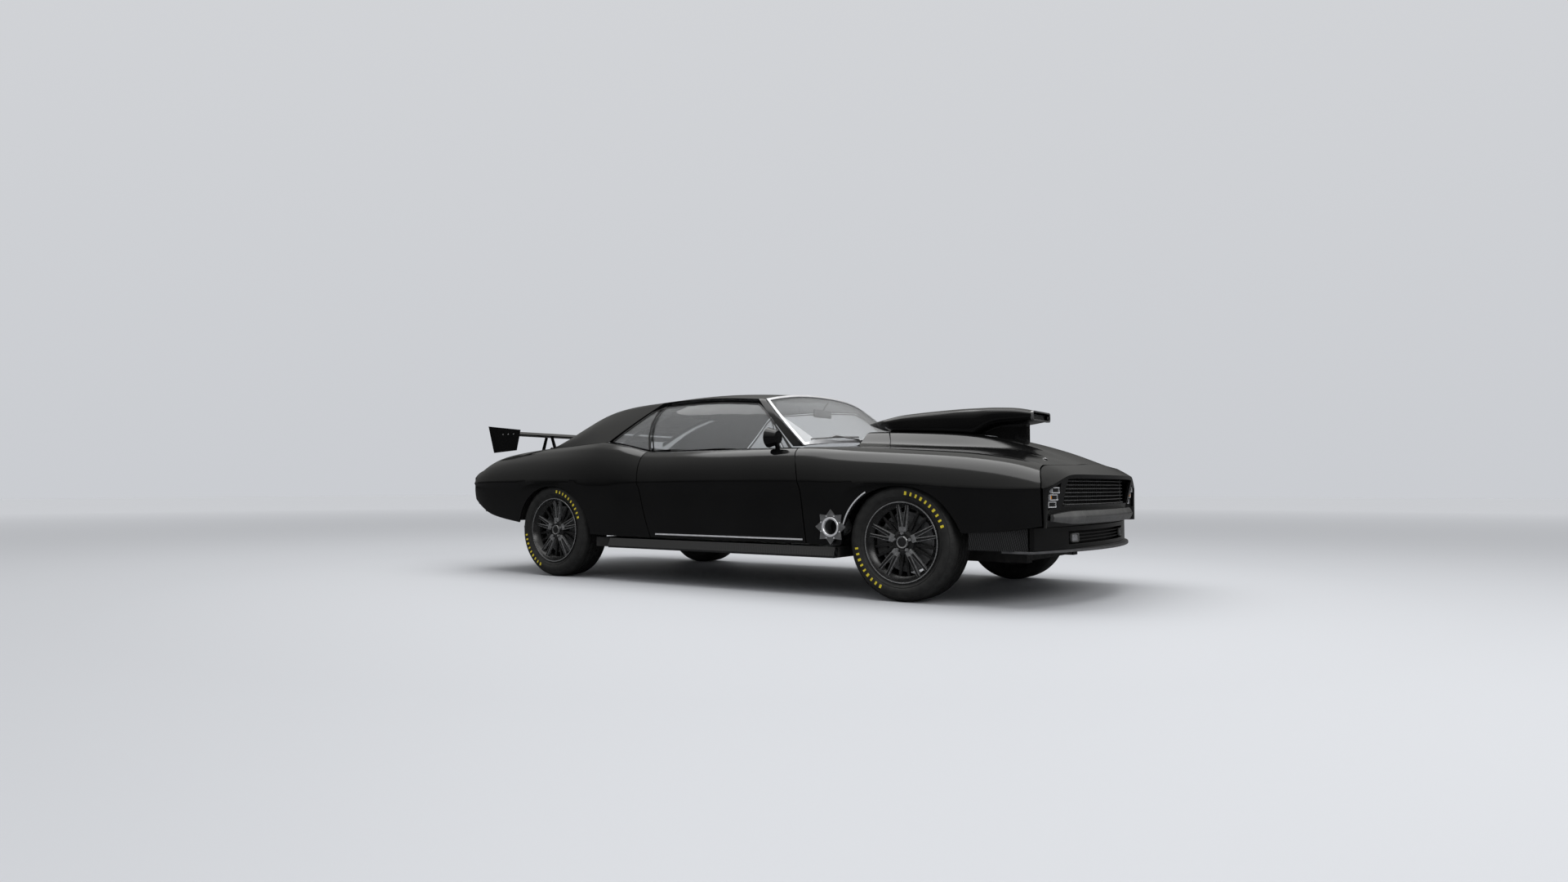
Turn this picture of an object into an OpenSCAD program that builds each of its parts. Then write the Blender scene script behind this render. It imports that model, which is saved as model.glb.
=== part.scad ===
// Muscle car with a drag hood scoop and a trunk wing, built of separate panels and running gear.
// Frame: x forward, y left, z up, in millimetres at real size.
// The origin lies on the ground below the middle of the length.

/* [Overall] */
// Distance between the axles
wheelbase = 2743; // [2680:1:2810]
// Width over the side creases
body_w = 1890; // [1840:1:1940]
// Height of the roof crown
roof_h = 1273; // [1260:1:1320]
// Splitter tip ahead of the front axle
front_overhang = 900; // [885:1:920]
// Rear bumper behind the rear axle
rear_overhang = 992; // [980:1:1010]
// Thickness of the painted skins
skin = 9; // [7:0.5:12]
// Gap at the shut lines of doors and lids
shut_gap = 7; // [6:0.5:9]
// Thickness of the window glass
glass_t = 5; // [4:0.5:8]

/* [Wheels] */
// Outside diameter of the tyres
tyre_d = 650; // [630:1:660]
// Section width of the tyres
tyre_w = 245; // [225:1:255]
// Diameter of the rim flanges
rim_d = 450; // [430:1:460]
// Tyre sidewall inside the side crease
wheel_inset = 27; // [22:1:40]
// Diameter of the brake discs
disc_d = 330; // [300:1:340]
// Thickness of the brake discs
disc_t = 28; // [20:1:32]
// Spoke pairs on each wheel
spoke_pairs = 5; // [4:1:6]
// Diameter of the stub axles
stub_d = 44; // [36:1:52]
// Running clearance of the hubs and the king pins
bearing_gap = 1; // [0.5:0.1:2]

/* [Body] */
// Top of the front wheel arch
front_arch_top = 637; // [630:1:642]
// Top of the rear wheel arch
rear_arch_top = 634; // [625:1:645]
// Half length of the wheel arches
arch_half = 372; // [365:1:385]
// Ground clearance of the floor pan
floor_z = 215; // [195:1:240]
// Thickness of the floor pan
floor_t = 24; // [16:1:40]
// Thickness of the doors at the crease
door_t = 150; // [130:1:160]
// Height of the raised base on the hood
hood_base_h = 92; // [70:1:100]
// Width of the hood scoop
scoop_w = 410; // [380:1:430]
// Wall of the hood scoop
scoop_wall = 8; // [5:0.5:12]
// Span of the trunk wing
wing_span = 1460; // [1300:1:1520]
// Chord of the trunk wing
wing_chord = 215; // [180:1:240]
// Radius of the exhaust outlets
exhaust_r = 47; // [40:1:52]
// Depth of the exhaust outlets
exhaust_depth = 120; // [90:1:150]

/* [Hidden] */
$fn = 48;

shift = (rear_overhang - front_overhang) / 2;
fx = wheelbase / 2 + shift;
rx = -wheelbase / 2 + shift;
lid_gap = shut_gap + 1;
half_w = body_w / 2;
tyre_r = tyre_d / 2;
tyre_y = half_w - wheel_inset - tyre_w / 2;
king_y = tyre_y - 50;
seam = 0.6;
roof_lift = roof_h - 1285;

paint = [0.05, 0.05, 0.06];
dark = [0.12, 0.12, 0.13];
grey = [0.45, 0.46, 0.48];
bright = [0.75, 0.76, 0.78];
tint = [0.25, 0.28, 0.3, 0.5];
rubber = [0.08, 0.08, 0.08];
red = [0.6, 0.06, 0.05];

// Body side stations; y is given as the inset from the crease half width.
// Columns: x, then the foot, the crease, the shoulder and the top, each with its inset and height
LOW_Z = 1;
LOW_IN = 2;
CREASE_Z = 3;
CREASE_IN = 4;
ROLL_IN = 5;
ROLL_Z = 6;
TOP_IN = 7;
TOP_Z = 8;
SIDE = [
  [rx - 935, 548, 92, 652, 72, 105, 752, 262, 758],
  [rx - 830, 490, 62, 655, 40, 75, 815, 265, 820],
  [rx - 690, 425, 48, 657, 22, 55, 860, 266, 866],
  [rx - 350, 370, 35, 660, 7, 38, 903, 262, 905],
  [rx, 330, 30, 662, 0, 30, 922, 225, 922],
  [rx + 250, 312, 32, 655, 2, 28, 937, 180, 932],
  [rx + 430, 304, 33, 648, 3, 25, 938, 148, 937],
  [rx + 640, 300, 33, 648, 3, 22, 903, 135, 905],
  [rx + 830, 300, 33, 650, 2, 20, 860, 130, 868],
  [(fx + rx) / 2, 300, 32, 657, 0, 20, 857, 130, 864],
  [fx - 680, 300, 32, 656, 0, 20, 855, 132, 865],
  [fx - 400, 300, 32, 650, 0, 22, 848, 172, 858],
  [fx, 330, 30, 647, 0, 28, 832, 215, 838],
  [fx + 330, 380, 38, 628, 6, 40, 805, 230, 815],
  [fx + 600, 400, 58, 618, 30, 68, 764, 245, 776],
  [fx + 790, 430, 100, 622, 80, 118, 706, 268, 724]
];
// Rows of a side panel: 0 below or 1 above the crease, and the share of that part.
ROWS = [[0, 0], [0, 0.3], [0, 0.62], [0, 0.9], [1, 0], [1, 0.2], [1, 0.4], [1, 0.62], [1, 0.82], [1, 1]];
TOP_ROW = len(ROWS) - 1;
crease_under = 10;
side_belly = 14;

function lerp(a, b, t) = a + (b - a) * t;
function clamp(t) = min(1, max(0, t));
function smooth(t) = let (c = clamp(t)) c * c * (3 - 2 * c);
function unit(v) = v / norm(v);
function seg(T, x, i = 0) = i >= len(T) - 2 || x < T[i + 1][0] ? i : seg(T, x, i + 1);
function slope(T, k, i) =
  let (a = max(0, i - 1), b = min(len(T) - 1, i + 1)) (T[b][k] - T[a][k]) / (T[b][0] - T[a][0]);
// Smooth curve through column k of a table at x
function at(T, k, x) =
  let (i = seg(T, x), h = T[i + 1][0] - T[i][0], t = clamp((x - T[i][0]) / h))
  (1 + 2 * t) * (1 - t) * (1 - t) * T[i][k] + t * (1 - t) * (1 - t) * h * slope(T, k, i)
  + t * t * (3 - 2 * t) * T[i + 1][k] + t * t * (t - 1) * h * slope(T, k, i + 1);

arch_foot = 250;
arch_power = 2.2;
function arch_z(x, c, top) =
  let (d = abs(x - c) / arch_half)
  d >= 1 ? 0 : arch_foot + (top - arch_foot) * pow(1 - pow(d, arch_power), 1 / arch_power);
function side_low(x) =
  max(at(SIDE, LOW_Z, x), arch_z(x, fx, front_arch_top), arch_z(x, rx, rear_arch_top));
// The crease is sharp behind each arch and fades out ahead of it.
function crease_share(x) =
  max(smooth((fx + 300 - x) / 300) * smooth((x - rx - 500) / 300), smooth((rx + 300 - x) / 300));
function side_below(x, t) =
  let (low = side_low(x), foot = at(SIDE, LOW_Z, x), crease = at(SIDE, CREASE_Z, x),
       z = lerp(low, crease, t), s = (z - foot) / (crease - foot),
       y = lerp(at(SIDE, LOW_IN, x), at(SIDE, CREASE_IN, x), s) - side_belly * s * (1 - s)
         + (t < 1 ? crease_under * s * s * crease_share(x) : 0))
  [x, half_w - y, z];
function side_above(x, t) =
  let (a = (1 - t) * (1 - t), b = 2 * t * (1 - t), c = t * t)
  [x, half_w - a * at(SIDE, CREASE_IN, x) - b * at(SIDE, ROLL_IN, x) - c * at(SIDE, TOP_IN, x),
   a * at(SIDE, CREASE_Z, x) + b * at(SIDE, ROLL_Z, x) + c * at(SIDE, TOP_Z, x)];
function side_pt(x, r) = ROWS[r][0] == 0 ? side_below(x, ROWS[r][1]) : side_above(x, ROWS[r][1]);
function top_y(x) = half_w - at(SIDE, TOP_IN, x);
function top_z(x) = at(SIDE, TOP_Z, x);

// Shut lines of the door, as x at a share of the height
function door_front(s) = let (u = min(1, s / 0.8)) fx - 612 - 100 * u + 45 * u * (1 - u);
function door_rear(s) = let (u = min(1, s / 0.85)) rx + 925 - 95 * u - 200 * u * (1 - u);
function fender_front(s) = fx + 774 - 50 * smooth((s - 0.45) / 0.55);

// Grid helpers: P[i][j] is the outer face, seen with the outside along cross(dj, di).
function step(P, i, j, di, dj) =
  let (a = P[max(0, i - di)][max(0, j - dj)],
       b = P[min(len(P) - 1, i + di)][min(len(P[0]) - 1, j + dj)]) b - a;
function inner(P, t) =
  [for (i = [0 : len(P) - 1]) [for (j = [0 : len(P[0]) - 1])
    P[i][j] - t * unit(cross(step(P, i, j, 0, 1), step(P, i, j, 1, 0)))]];
function filled(P) = [for (i = [0 : len(P) - 2]) [for (j = [0 : len(P[0]) - 2]) 1]];

// Closed shell between an outer and an inner grid; keep[i][j] is 0 where a cell is left open
module shell(P, Q, keep) {
  n = len(P) - 1;
  m = len(P[0]) - 1;
  row = m + 1;
  base = (n + 1) * row;
  function has(i, j) = i >= 0 && j >= 0 && i < n && j < m && keep[i][j] == 1;
  faces = [for (i = [0 : n - 1]) for (j = [0 : m - 1]) if (has(i, j))
    let (a = i * row + j, b = a + row, c = b + 1, d = a + 1)
    each [
      [a, b, c], [a, c, d], [c + base, b + base, a + base], [d + base, c + base, a + base],
      if (!has(i, j - 1)) each [[b, a, a + base], [b, a + base, b + base]],
      if (!has(i + 1, j)) each [[c, b, b + base], [c, b + base, c + base]],
      if (!has(i, j + 1)) each [[d, c, c + base], [d, c + base, d + base]],
      if (!has(i - 1, j)) each [[a, d, d + base], [a, d + base, a + base]]
    ]];
  polyhedron(points = concat([for (r = P) each r], [for (r = Q) each r]), faces = faces);
}

// Inner grid whose first and last columns keep the x of the outer grid
function flush_inner(P, t) = let (Q = inner(P, t), n = len(P) - 1)
  [for (i = [0 : n]) [for (j = [0 : len(P[0]) - 1])
    i == 0 || i == n ? [P[i][j][0], Q[i][j][1], Q[i][j][2]] : Q[i][j]]];

module sheet(P, t) {
  shell(P, inner(P, t), filled(P));
}

// Solid through a row of closed sections that have the same number of points
module loft(S) {
  n = len(S);
  m = len(S[0]);
  faces = concat(
    [[for (j = [0 : m - 1]) j]],
    [[for (j = [m - 1 : -1 : 0]) (n - 1) * m + j]],
    [for (i = [0 : n - 2]) for (j = [0 : m - 1])
      let (a = i * m + j, b = i * m + (j + 1) % m)
      each [[a, a + m, b + m], [a, b + m, b]]]);
  polyhedron(points = [for (s = S) each s], faces = faces);
}

module both() {
  children();
  mirror([0, 1, 0]) children();
}

module bar_x(x0, x1, y, z, w, h) {
  translate([x0, y - w / 2, z - h / 2]) cube([x1 - x0, w, h]);
}

module across(y0, y1, x, z, r) {
  translate([x, y0, z]) rotate([-90, 0, 0]) cylinder(r = r, h = y1 - y0);
}

// Floor, sills, firewall and boot floor
sill_out = half_w - 62;
sill_in = half_w - 235;
sill_top = 286;
firewall_x = fx - 500;
firewall_top = 800;
tunnel_w = body_w * 0.1588;
tunnel_h = 230;
kick_x = rx + 420;
axle_floor_z = 505;
boot_floor_z = 430;
tail_x = rx - rear_overhang + 40;
rear_floor_w = 2 * (tyre_y - tyre_w / 2 - 50);
pad_size = 70;
pad_t = 12;
pad_x = [fx - 520, rx + 520];
FLOOR_LINE = [
  [firewall_x, firewall_top], [firewall_x, floor_z + 210], [firewall_x - 160, floor_z + floor_t],
  [kick_x + 60, floor_z + floor_t], [kick_x, axle_floor_z], [rx - 250, axle_floor_z],
  [rx - 420, boot_floor_z], [tail_x + 40, boot_floor_z]
];

module floor_section() {
  n = len(FLOOR_LINE) - 1;
  polygon(concat(FLOOR_LINE, [for (i = [n : -1 : 0])
    let (p = FLOOR_LINE[i]) i == 0 ? [p[0] + floor_t, p[1]] :
      i < 3 ? [p[0] + floor_t * (i == 1 ? 1 : 0.4), p[1] - (i == 1 ? 10 : floor_t)] :
      [p[0], p[1] - floor_t]]));
}

door_pivot_back = 757;
pivot_r = 12;

module floor_pan() {
  color(dark) difference() {
    union() {
      translate([0, rear_floor_w / 2, 0]) rotate([90, 0, 0])
        linear_extrude(rear_floor_w) floor_section();
      translate([kick_x + 60, -sill_in - 10, floor_z])
        cube([firewall_x - 160 - kick_x - 60, 2 * sill_in + 20, floor_t]);
      both() translate([rx + arch_half + 30, sill_in, floor_z + 10])
        cube([wheelbase - 2 * arch_half - 60, sill_out - sill_in, sill_top - floor_z - 10]);
      both() for (x = pad_x) translate([x - pad_size / 2, sill_in + 20, floor_z + 10 - pad_t])
        cube([pad_size, pad_size, pad_t + 5]);
      both() translate([fx - door_pivot_back, sill_out - pivot_r, sill_top - 5])
        cylinder(r = pivot_r, h = side_low(fx - door_pivot_back) - seam - sill_top + 5);
      translate([kick_x + 80, -tunnel_w / 2, floor_z])
        cube([firewall_x - 150 - kick_x - 80, tunnel_w, tunnel_h]);
    }
    translate([kick_x - 80, -tunnel_w / 2 + floor_t, floor_z - 60])
      cube([firewall_x + 280 - kick_x, tunnel_w - 2 * floor_t, tunnel_h + 60 - floor_t]);
  }
}

// Front subframe with its crossmembers
// The rails stand at a share of the way out to the king pins.
rail_y = king_y * 0.5366;
rail_z = 250;
rail_w = 80;
rail_h = 90;

module subframe() {
  color(dark) union() {
    both() bar_x(firewall_x - 79, splitter_back - 20, rail_y, rail_z, rail_w, rail_h);
    translate([fx - 90, -rail_y, rail_z - 35]) cube([180, 2 * rail_y, 70]);
    translate([splitter_back - 95, -rail_y, rail_z - 35]) cube([70, 2 * rail_y, 70]);
    both() translate([fx - 90, rail_y - 40, rail_z]) cube([180, 60, 250]);
  }
}

// Control arms reach from the subframe to the king pins.
arm_low = tyre_r - 135;
arm_high = tyre_r + 135;
eye_r = 30;
pin_r = 14;
eye_t = 30;

module control_arm(z, inner_y) {
  difference() {
    union() {
      translate([fx, 0, z]) linear_extrude(eye_t, center = true) polygon([
        [-110, inner_y], [110, inner_y], [24, king_y], [-24, king_y]]);
      translate([fx, king_y, z]) cylinder(r = eye_r, h = eye_t, center = true);
    }
    translate([fx, king_y, z]) cylinder(r = pin_r + bearing_gap, h = 2 * eye_t, center = true);
    translate([fx, inner_y + 90, z]) cylinder(r = 45, h = 2 * eye_t, center = true);
  }
}

module control_arms() {
  color(grey) both() {
    control_arm(arm_low, rail_y + rail_w / 2 + seam);
    control_arm(arm_high, rail_y + 20 + seam);
  }
}

// Knuckles carry the front wheels on stub axles and swing on the king pins.
hub_y = tyre_y + 25;
disc_y = king_y + 52;

module knuckle() {
  color(grey) difference() {
    union() {
      translate([fx, king_y, arm_low + eye_t / 2 + 2])
        cylinder(r = 30, h = arm_high - arm_low - eye_t - 4);
      translate([fx, king_y, arm_low - eye_t / 2 - 8])
        cylinder(r = pin_r, h = arm_high - arm_low + eye_t + 16);
      across(king_y, hub_y + 20, fx, tyre_r, stub_d / 2);
      translate([fx - 148, king_y - 20, tyre_r - 22]) cube([148, 44, 44]);
      difference() {
        intersection() {
          translate([fx - 190, king_y - 14, tyre_r - 80]) cube([75, 108, 160]);
          across(king_y - 30, king_y + 110, fx, tyre_r, barrel_r - rim_wall - 6);
        }
        across(king_y - 30, king_y + 120, fx, tyre_r, 110);
        across(disc_y - 8, disc_y + disc_t + 8, fx, tyre_r, disc_d / 2 + 7);
      }
    }
  }
}

// Wheel with its hub and brake disc; the outer face looks along +y.
rim_wall = 8;
rim_out = tyre_w / 2 - 12;
barrel_r = rim_d / 2 - 28;
hub_r = 74;
spoke_w = 26;
spoke_split = 15;
face_t = 34;

module rim_barrel() {
  rotate([-90, 0, 0]) rotate_extrude($fn = 72) polygon([
    [barrel_r - rim_wall, -rim_out], [rim_d / 2, -rim_out], [rim_d / 2, -rim_out + 9],
    [rim_d / 2 - 12, -rim_out + 9], [barrel_r + 14, -rim_out + 42], [barrel_r, -30], [barrel_r, 30],
    [barrel_r + 14, rim_out - 42], [rim_d / 2 - 12, rim_out - 9], [rim_d / 2, rim_out - 9],
    [rim_d / 2, rim_out], [rim_d / 2 - 10, rim_out], [barrel_r + 6, rim_out - 30],
    [barrel_r - rim_wall, rim_out - 42]]);
}

module spoke(a) {
  rotate([0, a, 0]) translate([0, rim_out - 30, 0]) rotate([90, 0, 0]) linear_extrude(face_t)
    polygon([[-spoke_w / 2 - 4, hub_r - 14], [spoke_w / 2 + 4, hub_r - 14],
             [spoke_w / 2, barrel_r + 3], [-spoke_w / 2, barrel_r + 3]]);
}

module wheel(bore) {
  color(dark) difference() {
    union() {
      rim_barrel();
      for (k = [0 : spoke_pairs - 1]) {
        spoke(k * 360 / spoke_pairs + spoke_split);
        spoke(k * 360 / spoke_pairs - spoke_split);
      }
      across(hub_y - tyre_y, rim_out - 26, 0, 0, hub_r);
      across(disc_y - tyre_y, hub_y - tyre_y + 5, 0, 0, hub_r - 8);
      across(disc_y - tyre_y, disc_y - tyre_y + disc_t, 0, 0, disc_d / 2);
    }
    across(-tyre_w, hub_y - tyre_y + 30, 0, 0, bore);
  }
}

module tyre() {
  wall = 14;
  side = tyre_w / 2;
  bead = rim_out - 9 - seam;
  foot = rim_d / 2 - 12 + seam;
  function up(share) = lerp(rim_d / 2, tyre_r, share);
  color(rubber) rotate([-90, 0, 0]) rotate_extrude($fn = 72) polygon([
    [foot, -bead], [up(0.06), -bead], [up(0.36), -side], [up(0.7), -side + 5],
    [up(0.9), -side + 24], [tyre_r, -side + 36], [tyre_r, side - 36], [up(0.9), side - 24],
    [up(0.7), side - 5], [up(0.36), side], [up(0.06), bead], [foot, bead],
    [foot, bead - wall], [up(0.36), side - wall], [up(0.8), side - 36],
    [up(0.8), -side + 36], [up(0.36), -side + wall], [foot, -bead + wall]]);
}

module at_wheel(x, side) {
  translate([x, side * tyre_y, tyre_r]) mirror([0, side < 0 ? 1 : 0, 0]) children();
}

// Rear axle with its differential, springs and shaft
axle_r = 38;
spring_y = tyre_y - tyre_w / 2 - 133;
spring_w = 64;

module rear_axle() {
  color(dark) union() {
    across(-disc_y + 14, disc_y - 14, rx, tyre_r, axle_r);
    across(-hub_y - 20, hub_y + 20, rx, tyre_r, stub_d / 2);
    translate([rx, 0, tyre_r]) sphere(r = 130);
    translate([rx, 0, tyre_r]) rotate([0, 90, 0]) cylinder(r = 52, h = 190);
    both() translate([rx - 70, spring_y - 45, tyre_r - 66]) cube([140, 90, 46]);
  }
}

spring_z = tyre_r - 66 - seam;
spring_t = 18;
spring_front = 350;
spring_rear = -680;
SPRING = [[380, 34], [240, 10], [90, 0], [-90, 0], [-300, 12], [-500, 36], [-700, 70]];

module leaf_springs() {
  n = len(SPRING) - 1;
  color(dark) both() union() {
    translate([rx, spring_y + spring_w / 2, spring_z]) rotate([90, 0, 0]) linear_extrude(spring_w)
      polygon(concat(SPRING, [for (i = [n : -1 : 0]) SPRING[i] - [0, spring_t]]));
    translate([rx + spring_front - 20, spring_y - 20, spring_z + 10])
      cube([40, 40, axle_floor_z - floor_t - seam - spring_z - 10]);
    translate([rx + spring_rear - 15, spring_y - 20, spring_z + 50])
      cube([30, 40, boot_floor_z - floor_t - seam - spring_z - 50]);
  }
}

shaft_r = 36;
gearbox_end = fx - 1150;

module driveshaft() {
  color(grey) translate([rx + 190 + seam, 0, tyre_r]) rotate([0, 90, 0])
    cylinder(r = shaft_r, h = gearbox_end - rx - 190 - 2 * seam);
}

module fuel_tank() {
  color(dark) translate([rx - 800, 180 - spring_y, boot_floor_z - floor_t - seam - 150])
    cube([360, 2 * spring_y - 360, 150]);
}

// Engine with its gearbox, as one plain block
engine_half = rail_y * 0.6;

module engine() {
  color(grey) union() {
    translate([fx - 330, -engine_half, rail_z + 35 + seam]) cube([620, 2 * engine_half, 440]);
    translate([fx - 430, -120, tyre_r - 70]) cube([120, 240, 200]);
    translate([gearbox_end, -75, tyre_r - 70]) cube([fx - 420 - gearbox_end, 150, 150]);
    both() translate([fx - 240, engine_half - 10, rail_z])
      cube([120, rail_y - rail_w / 2 - engine_half + 10 - seam, 90]);
  }
}

// Exhausts leave through the fenders behind the front wheels.
exhaust_x = fx - 428;
exhaust_z = 400;
star_points = 8;
star_r = 100;
star_t = 8;
pipe_wall = 5;

module star() {
  polygon([for (k = [0 : 2 * star_points - 1])
    let (a = k * 180 / star_points, r = k % 2 == 0 ? star_r : star_r * 0.72) [r * cos(a), r * sin(a)]]);
}

function exhaust_face() = side_below(exhaust_x, 0.35)[1] + 6;

module exhausts() {
  y = exhaust_face();
  color(bright) both() difference() {
    union() {
      translate([exhaust_x, y, exhaust_z]) rotate([-90, 0, 0]) linear_extrude(star_t) star();
      across(y - exhaust_depth - 25, y + star_t, exhaust_x, exhaust_z, exhaust_r + pipe_wall);
    }
    across(y + star_t - exhaust_depth, y + star_t + 10, exhaust_x, exhaust_z, exhaust_r);
  }
}

// Side panels run as grids between their shut lines.
function spread(a, b, n) = [for (i = [0 : n]) lerp(a, b, i / n)];
function arch_cols(c) = [for (a = [0 : 15 : 180]) c - arch_half * cos(a)];
tail_w = half_w - 86;
tail_t = 16;
quarter_end = tail_plan(tail_w) + tail_t + seam;
FENDER_X = concat(spread(fx - 690, fx - arch_half - 60, 4), arch_cols(fx),
  spread(fx + arch_half + 60, fx + 774, 4));
QUARTER_X = concat(spread(quarter_end, rx - arch_half - 60, 7), arch_cols(rx),
  spread(rx + arch_half + 60, rx + 880, 5));

function fender_grid() = let (n = len(FENDER_X) - 1)
  [for (i = [0 : n]) [for (r = [0 : TOP_ROW])
    let (s = r / TOP_ROW, back = clamp(1 - i / 4), front = clamp(1 - (n - i) / 3),
         x = FENDER_X[i] + back * (door_front(s) + shut_gap - FENDER_X[0])
           + front * (fender_front(s) - FENDER_X[n]))
    side_pt(x, r)]];

module front_fenders() {
  color(paint) both() difference() {
    shell(fender_grid(), flush_inner(fender_grid(), skin), filled(fender_grid()));
    across(half_w - 300, half_w + 100, exhaust_x, exhaust_z, exhaust_r + pipe_wall + 4);
  }
}

function quarter_grid() = let (n = len(QUARTER_X) - 1)
  [for (i = [0 : n]) [for (r = [0 : TOP_ROW])
    let (s = r / TOP_ROW, front = clamp(1 - (n - i) / 4),
         x = QUARTER_X[i] + front * (door_rear(s) - shut_gap - QUARTER_X[n]))
    side_pt(x, r)]];

module quarter_panels() {
  P = quarter_grid();
  T = flush_inner(P, skin);
  Q = [for (i = [0 : len(P) - 1]) [for (r = [0 : TOP_ROW])
    let (p = P[i][r], k = smooth((p[0] - rx - arch_half - 20) / 90))
    lerp(T[i][r], [p[0], min(T[i][r][1], door_inner(p, r)), p[2]], k)]];
  color(paint) both() shell(P, Q, filled(P));
}

function door_inner(p, r) = min(p[1] - 72, half_w - lerp(door_t, door_t + 62, r / TOP_ROW));

// The rear edge tapers inwards, so that it swings clear of the quarter panel.
door_taper = 10;

module door() {
  n = 14;
  P = [for (i = [0 : n]) [for (r = [0 : TOP_ROW])
    let (s = r / TOP_ROW) side_pt(lerp(door_rear(s), door_front(s), i / n), r)]];
  Q = [for (i = [0 : n]) [for (r = [0 : TOP_ROW])
    let (p = P[i][r]) [p[0] + (i == 0 ? door_taper : 0), door_inner(p, r), p[2]]]];
  color(paint) {
    shell(P, Q, filled(P));
    mirror_arm();
  }
}

mirror_x = fx - 885;

module mirror_arm() {
  translate([mirror_x, top_y(mirror_x) - 20, top_z(mirror_x) - 6]) rotate([-38, 0, 0])
    cylinder(r = 14, h = 75);
  translate([mirror_x - 20, half_w - 75, top_z(mirror_x) + 60]) rotate([0, 90, 0])
    cylinder(r1 = 62, r2 = 40, h = 70);
}

// Roof with its pillars: stations from the windshield frame back to the deck
// Columns: station, then the belt, the roof rail and the middle of the roof
BELT_X = 1;
BELT_IN = 2;
BELT_Z = 3;
RAIL_X = 4;
RAIL_IN = 5;
RAIL_Z = 6;
MID_X = 7;
MID_Z = 8;
ROOF = [
  [0, fx - 740, 205, 875, fx - 1110, 330, 1195, fx - 1072, 1250],
  [1, fx - 815, 203, 875, fx - 1160, 322, 1204, fx - 1137, 1262],
  [2, fx - 1250, 150, 868, fx - 1420, 310, 1222, fx - 1420, 1281],
  [3, rx + 930, 145, 868, rx + 1070, 305, 1224, rx + 1070, 1285],
  [4, rx + 425, 148, 937, rx + 790, 310, 1215, rx + 790, 1268],
  [5, rx + 245, 155, 932, rx + 570, 320, 1204, rx + 570, 1238],
  [6, rx + 100, 170, 928, rx + 370, 333, 1182, rx + 380, 1200],
  [7, rx - 15, 225, 922, rx + 190, 338, 1138, rx + 180, 1142],
  [8, rx - 115, 235, 918, rx + 10, 333, 1060, rx - 10, 1060],
  [9, rx - 245, 252, 911, rx - 225, 290, 932, rx - 240, 945],
  [10, rx - 290, 256, 906, rx - 285, 282, 918, rx - 290, 930]
];
PILLAR_END = 1;
SAIL_START = 4;
REAR_TOP = 6;
REAR_FOOT = 9;
ROOF_END = len(ROOF) - 1;
roof_steps = 2;
side_strips = 4;
crown_strips = 7;
window_edge = 0.86;
roof_t = 26;
sail_seat = 1.2;
function roof_belt(s) = let (x = at(ROOF, BELT_X, s))
  s < 3 ? [x, half_w - at(ROOF, BELT_IN, s), at(ROOF, BELT_Z, s)] : [x, top_y(x), top_z(x) + sail_seat];
// A changed roof height fades out towards the rear window's foot.
function lift_at(s) = roof_lift * smooth((REAR_FOOT - s) / 2);
function roof_rail(s) =
  [at(ROOF, RAIL_X, s), half_w - at(ROOF, RAIL_IN, s), at(ROOF, RAIL_Z, s) + lift_at(s)];
// Point of the roof side, g from the belt to the rail
function roof_side(s, g) = let (p = lerp(roof_belt(s), roof_rail(s), g)) p + [0, 14 * g * (1 - g) * 4, 0];
// Point of the roof crown, u from the rail to the middle
function crown_share(k) =
  k == 0 ? 0 : lerp(1 - window_edge, 1, (k - 1) / (crown_strips - 1));
function roof_crown(s, u) =
  let (p = roof_rail(s), q = pow(1 - u, 2.4), mz = at(ROOF, MID_Z, s) + lift_at(s), mx = at(ROOF, MID_X, s))
  [lerp(mx, p[0], pow(1 - u, 2)), p[1] * (1 - u), mz - (mz - p[2]) * q];
half_strips = side_strips + crown_strips;
function roof_half(s, j) =
  j <= side_strips ? roof_side(s, j / side_strips) : roof_crown(s, crown_share(j - side_strips));
function roof_pt(s, j) =
  j <= half_strips ? let (p = roof_half(s, j)) [p[0], -p[1], p[2]] : roof_half(s, 2 * half_strips - j);
function roof_keep(s, j) =
  let (k = j < half_strips ? j : 2 * half_strips - 1 - j)
  k < side_strips ? (s < PILLAR_END || s >= SAIL_START ? 1 : 0)
  : k == side_strips ? 1 : (s < REAR_TOP || s >= REAR_FOOT ? 1 : 0);

module roof() {
  n = ROOF_END * roof_steps;
  P = [for (i = [0 : n]) [for (j = [0 : 2 * half_strips]) roof_pt(i / roof_steps, j)]];
  K = [for (i = [0 : n - 1]) [for (j = [0 : 2 * half_strips - 1]) roof_keep(i / roof_steps, j)]];
  T = inner(P, roof_t);
  Q = [for (i = [0 : n]) [for (j = [0 : 2 * half_strips])
    j == 0 || j == 2 * half_strips ? [T[i][j][0], T[i][j][1], P[i][j][2]] : T[i][j]]];
  color(paint) shell(P, Q, K);
}

// Windows
window_drop = 4;

module windshield() {
  rows = 6;
  cols = 12;
  P = [for (v = [0 : rows]) [for (k = [0 : cols])
    let (g = 1 - v / rows, u = 2 * k / cols - 1, p = roof_side(0, g),
         lip = roof_crown(0, 1), bow = lerp(150, lip[0] - roof_rail(0)[0], g),
         rise = lerp(40, lip[2] - roof_rail(0)[2], g))
    [p[0] + bow * (1 - u * u) + 0.4, u * (p[1] - 0.7), p[2] + rise * (1 - pow(abs(u), 2.4))]]];
  color(tint) shell(inner(P, glass_t * 0.2), inner(P, glass_t * 1.2), filled(P));
}

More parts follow.
